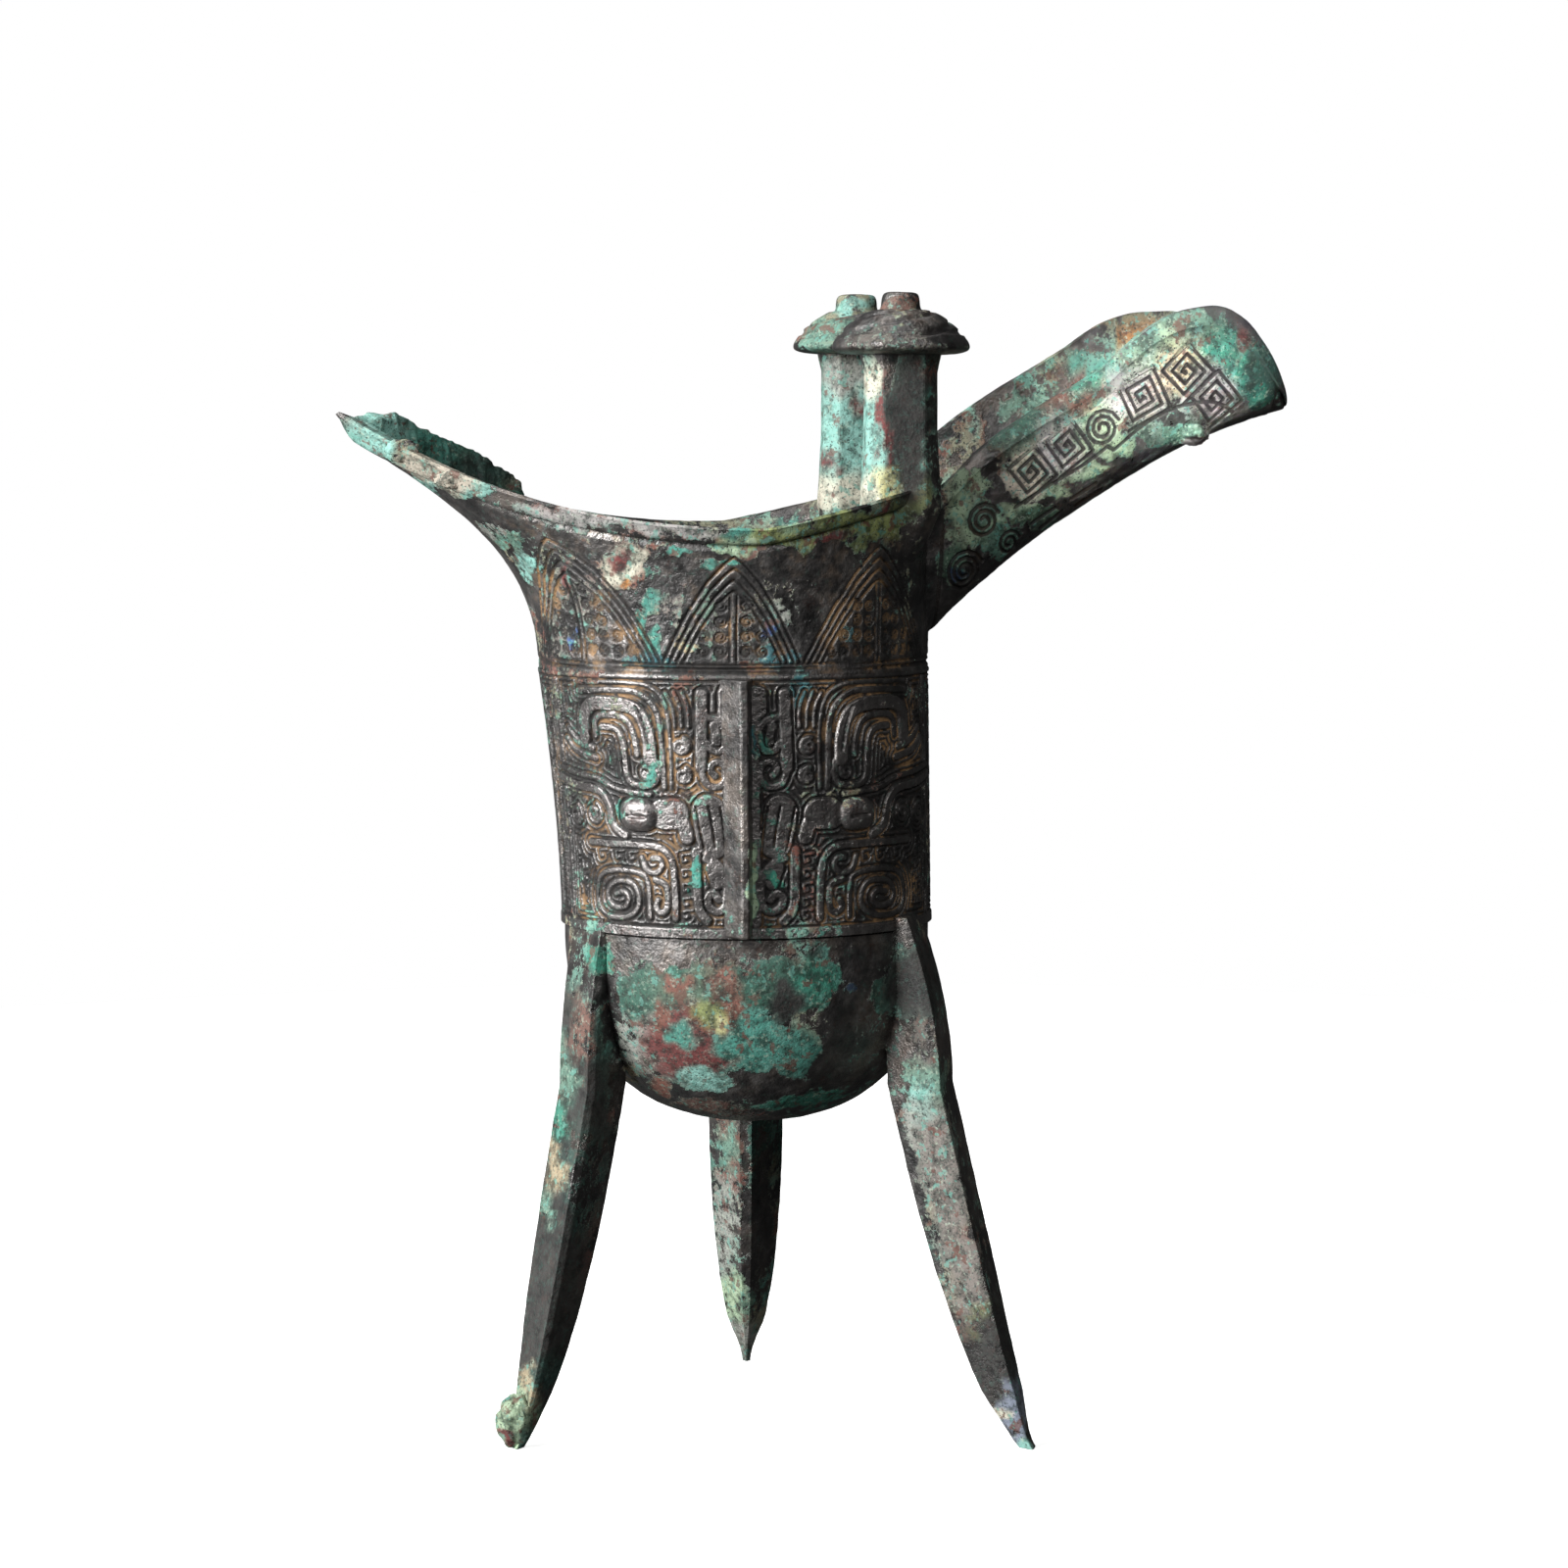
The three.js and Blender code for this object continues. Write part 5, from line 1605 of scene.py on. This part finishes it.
# The bronze's noise patterns: the size of their grain in millimetres, and their detail
SPECK = (0.45, 2)
GRAIN = (0.8, 4)
GREEN_SPOTS = (1.7, 4)
CLUMP = (2.3, 4)
BROWN_SPOTS = (3.1, 4)
CLOUD = (10.5, 6)
PATTERN_ROUGHNESS = 0.62
BARE_METAL = [(0.36, "#393939"), (0.5, "#5a5857"), (0.64, "#86827f")]
WORN_METAL = linear("#8f8a88")
GREEN_FILM = linear("#3f5c53")
BROWN_STAIN = linear("#5a3d35")
DARK_EARTH = linear("#1b1918")
OCHRE_EARTH = linear("#91724f")
DAMP_EARTH = linear("#26211e")
CRUST_SHADE = linear("#6b746e")
CRUST_GRAINS = linear("#a9b9a6")
CRUST_PITS = linear("#20302b")
CRUST_BROWN = linear("#5f3a30")
CRUST_GREEN = linear("#619b8e")


def cast_bronze(name):
    """High-tin bronze, cast in clay moulds and long buried: dark, half glossy metal where it is bare, matt
    crusts of copper minerals with sharp edges where it has corroded, ochre earth in the cut lines."""
    material = bpy.data.materials.new(name)
    material.use_nodes = True
    tree = material.node_tree
    shader = tree.nodes["Principled BSDF"]
    place = node(tree, "TexCoord", output="Object")
    patterns = []
    for millimetres, detail in (SPECK, GRAIN, CLUMP, CLOUD, GREEN_SPOTS, BROWN_SPOTS):
        sockets = {"Vector": place, "Scale": 1000 / millimetres}
        sockets.update({"Detail": detail, "Roughness": PATTERN_ROUGHNESS})
        patterns.append(node(tree, "TexNoise", sockets, "Fac"))
    speck, grain, clump, cloud, green_spots, brown_spots = patterns
    # The patina colours include a painted highlight on the lip and painted shade on the near post.
    tint = node(tree, "Attribute", output="Color", attribute_name="patina")
    cover = node(tree, "Attribute", output="Fac", attribute_name="patina_cover")
    relief = node(tree, "Attribute", output="Fac", attribute_name="relief")
    ochre = node(tree, "Attribute", output="Fac", attribute_name="ochre")

    # Bare metal: cloudy dark tin bronze, lighter where the relief is worn, with thin green and brown films
    clouded = node(tree, "Math", (cloud, 0.6), operation="MULTIPLY")
    clouded = node(tree, "Math", (clump, 0.4, clouded), operation="MULTIPLY_ADD")
    metal = node(tree, "ValToRGB", (clouded,))
    ramp_stops(metal.node.color_ramp, BARE_METAL)
    worn = node(tree, "MapRange", (relief, 0.1, 0.3, 0.0, 0.45))
    metal = node(tree, "MixRGB", (worn, metal, WORN_METAL))
    film = node(tree, "MapRange", (green_spots, 0.56, 0.66))
    specked = node(tree, "MapRange", (speck, 0.46, 0.56, 0.1, 0.6))
    film = node(tree, "Math", (film, specked), operation="MULTIPLY")
    metal = node(tree, "MixRGB", (film, metal, GREEN_FILM))
    stain = node(tree, "MapRange", (brown_spots, 0.58, 0.66))
    specked = node(tree, "MapRange", (speck, 0.46, 0.56, 0.05, 0.4))
    stain = node(tree, "Math", (stain, specked), operation="MULTIPLY")
    metal = node(tree, "MixRGB", (stain, metal, BROWN_STAIN))

    # Earth in the cut lines
    low = node(tree, "MapRange", (relief, 0.02, -0.14))
    dry = node(tree, "MapRange", (cloud, 0.48, 0.62))
    dry = node(tree, "Math", (dry, ochre), operation="MULTIPLY")
    earth = node(tree, "MixRGB", (dry, DARK_EARTH, OCHRE_EARTH))
    damp = node(tree, "MapRange", (clump, 0.5, 0.6))
    earth = node(tree, "MixRGB", (damp, earth, DAMP_EARTH))
    metal = node(tree, "MixRGB", (low, metal, earth))

    # Where the crust lies: its cover, with an edge that the noise breaks up, and little in the cut lines
    broken = node(tree, "Math", (clump, 1.1, -0.55), operation="MULTIPLY_ADD")
    frayed = node(tree, "Math", (grain, 0.7, -0.35), operation="MULTIPLY_ADD")
    broken = node(tree, "Math", (frayed, broken), operation="ADD")
    crust = node(tree, "Math", (broken, cover), operation="ADD")
    crust = node(tree, "MapRange", (crust, 0.46, 0.54))
    open_ground = node(tree, "MapRange", (low, 0.0, 1.0, 1.0, 0.1))
    crust = node(tree, "Math", (crust, open_ground), operation="MULTIPLY")

    # Crust: the mineral's own colour, clouded, with dark pits and pale grains. Only the lighter minerals
    # are lively, with pale, brown and green spots.
    shaded = node(tree, "MixRGB", (1.0, tint, CRUST_SHADE), blend_type="MULTIPLY")
    shade = node(tree, "MapRange", (clump, 0.54, 0.38, 0.0, 0.85))
    mineral = node(tree, "MixRGB", (shade, tint, shaded))
    lively = node(tree, "RGBToBW", (tint,))
    lively = node(tree, "MapRange", (lively, 0.03, 0.1, 0.1, 1.0))
    pale = node(tree, "MapRange", (grain, 0.55, 0.7, 0.0, 0.6))
    pale = node(tree, "Math", (pale, lively), operation="MULTIPLY")
    mineral = node(tree, "MixRGB", (pale, mineral, CRUST_GRAINS))
    pits = node(tree, "MapRange", (speck, 0.44, 0.34, 0.0, 0.9))
    mineral = node(tree, "MixRGB", (pits, mineral, CRUST_PITS))
    brown = node(tree, "MapRange", (brown_spots, 0.6, 0.64, 0.0, 0.75))
    brown = node(tree, "Math", (brown, lively), operation="MULTIPLY")
    mineral = node(tree, "MixRGB", (brown, mineral, CRUST_BROWN))
    green = node(tree, "MapRange", (green_spots, 0.58, 0.62, 0.0, 0.6))
    green = node(tree, "Math", (green, lively), operation="MULTIPLY")
    mineral = node(tree, "MixRGB", (green, mineral, CRUST_GREEN))
    tree.links.new(node(tree, "MixRGB", (crust, metal, mineral)), shader.inputs["Base Color"])

    # Minerals and earth are matt and not metal
    dull_earth = node(tree, "Math", (low, 0.9), operation="MULTIPLY")
    dull_film = node(tree, "Math", (film, 0.6), operation="MULTIPLY")
    dull = node(tree, "Math", (dull_earth, dull_film), operation="MAXIMUM")
    dull = node(tree, "Math", (crust, dull), operation="MAXIMUM")
    metallic = node(tree, "MapRange", (dull, 0.0, 1.0, 0.85, 0.04))
    tree.links.new(metallic, shader.inputs["Metallic"])
    sheen = node(tree, "MapRange", (clump, 0.35, 0.65, 0.26, 0.44))
    roughness = node(tree, "Math", (dull, 0.4, sheen), operation="MULTIPLY_ADD")
    tree.links.new(roughness, shader.inputs["Roughness"])

    # Crusts stand a little above the metal, which is faintly pitted
    height = node(tree, "Math", (clump, 0.6), operation="MULTIPLY")
    height = node(tree, "Math", (grain, 0.45, height), operation="MULTIPLY_ADD")
    height = node(tree, "Math", (crust, 0.35, height), operation="MULTIPLY_ADD")
    height = node(tree, "Math", (speck, 0.22, height), operation="MULTIPLY_ADD")
    bump = node(tree, "Bump", {"Strength": 0.7, "Distance": 0.0005, "Height": height})
    tree.links.new(bump, shader.inputs["Normal"])
    return material


finish = cast_bronze("cast_bronze")
for piece in pieces:
    fit_in_box(piece)
    if piece.name == "tail_crust":
        paint_patina_and_painted_light(piece, "#2f6a58", 1.0)
    else:
        paint_patina_and_painted_light(piece)
    piece.data.materials.clear()
    piece.data.materials.append(finish)
    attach(piece, "root")
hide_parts("jue_cup")

# Studio: a round white floor, soft light from the left and above, and a room that is dark to the right.
# The floor is lit by itself, and no other surface sees it, because the photo's undersides are dark.
clear_selection()
bpy.ops.mesh.primitive_circle_add(vertices=128, radius=0.55, fill_type="NGON", location=(0, 0, 0))
floor = bpy.context.object
floor.name = "floor"
floor_material = bpy.data.materials.new("pale_floor")
floor_material.use_nodes = True
sockets = floor_material.node_tree.nodes["Principled BSDF"].inputs
sockets["Base Color"].default_value = linear("#f4f4f2")
sockets["Roughness"].default_value = 0.9
sockets["Emission Color"].default_value = linear("#ffffff")
sockets["Emission Strength"].default_value = 0.7
floor.data.materials.append(floor_material)
floor.visible_diffuse = False
floor.visible_glossy = False

# The camera sees a white backdrop, and the bronze a room that fades to the right.
world = bpy.data.worlds.new("studio")
bpy.context.scene.world = world
world.use_nodes = True
air = world.node_tree
backdrop = air.nodes["Background"]
backdrop.inputs["Color"].default_value = linear("#ffffff")
backdrop.inputs["Strength"].default_value = 1.0
way = node(air, "TexCoord", output="Generated")
sideways = node(air, "SeparateXYZ", (way,), "X")
glow = node(air, "MapRange", (sideways, -1.0, 0.1, 0.4, 0.03))
room = node(air, "Background", (linear("#ffffff"), glow))
seen = node(air, "LightPath", output="Is Camera Ray")
sky = node(air, "MixShader", (seen, room, backdrop.outputs["Background"]))
air.links.new(sky, air.nodes["World Output"].inputs["Surface"])

# Matched to the photo, whose side is 1600 pixels
CAMERA = {"place": (-77.16, -668.56, 168.10), "yaw": 7.1675, "pitch": 4.8362, "focal_pixels": 3984.4}
PHOTO_PIXELS = 1600
SENSOR = 36
camera_data = bpy.data.cameras.new("camera")
camera_data.sensor_width = SENSOR
camera_data.lens = CAMERA["focal_pixels"] / PHOTO_PIXELS * SENSOR
camera = bpy.data.objects.new("camera", camera_data)
bpy.context.collection.objects.link(camera)
camera.location = to_row(CAMERA["place"])
camera.rotation_euler = Euler((math.radians(90 - CAMERA["pitch"]), 0, -math.radians(CAMERA["yaw"])))
bpy.context.scene.camera = camera
bpy.context.scene.view_settings.view_transform = "Standard"


def area_light(name, place, aim, size, power, spread=180):
    light = bpy.data.lights.new(name, "AREA")
    light.energy = power
    light.size = size
    light.spread = math.radians(spread)
    lamp = bpy.data.objects.new(name, light)
    bpy.context.collection.objects.link(lamp)
    lamp.location = place
    lamp.rotation_euler = (Vector(aim) - Vector(place)).to_track_quat("-Z", "Y").to_euler()


# The spout's light is narrow, because in the photo its panel is lighter than the wall beside it.
area_light("key", place=(-0.88, -0.46, 0.42), aim=(0, 0, 0.1), size=0.5, power=24)
area_light("front", place=(0.15, -1.1, 0.75), aim=(0.05, 0, 0.15), size=0.5, power=5)
area_light("top", place=(-0.2, 0.1, 1.3), aim=(0, 0, 0), size=0.5, power=7)
area_light(
    "spout_light", place=(-0.14, -0.6, 0.46), aim=(0.063, -0.008, 0.17), size=0.03, power=0.018, spread=4
)
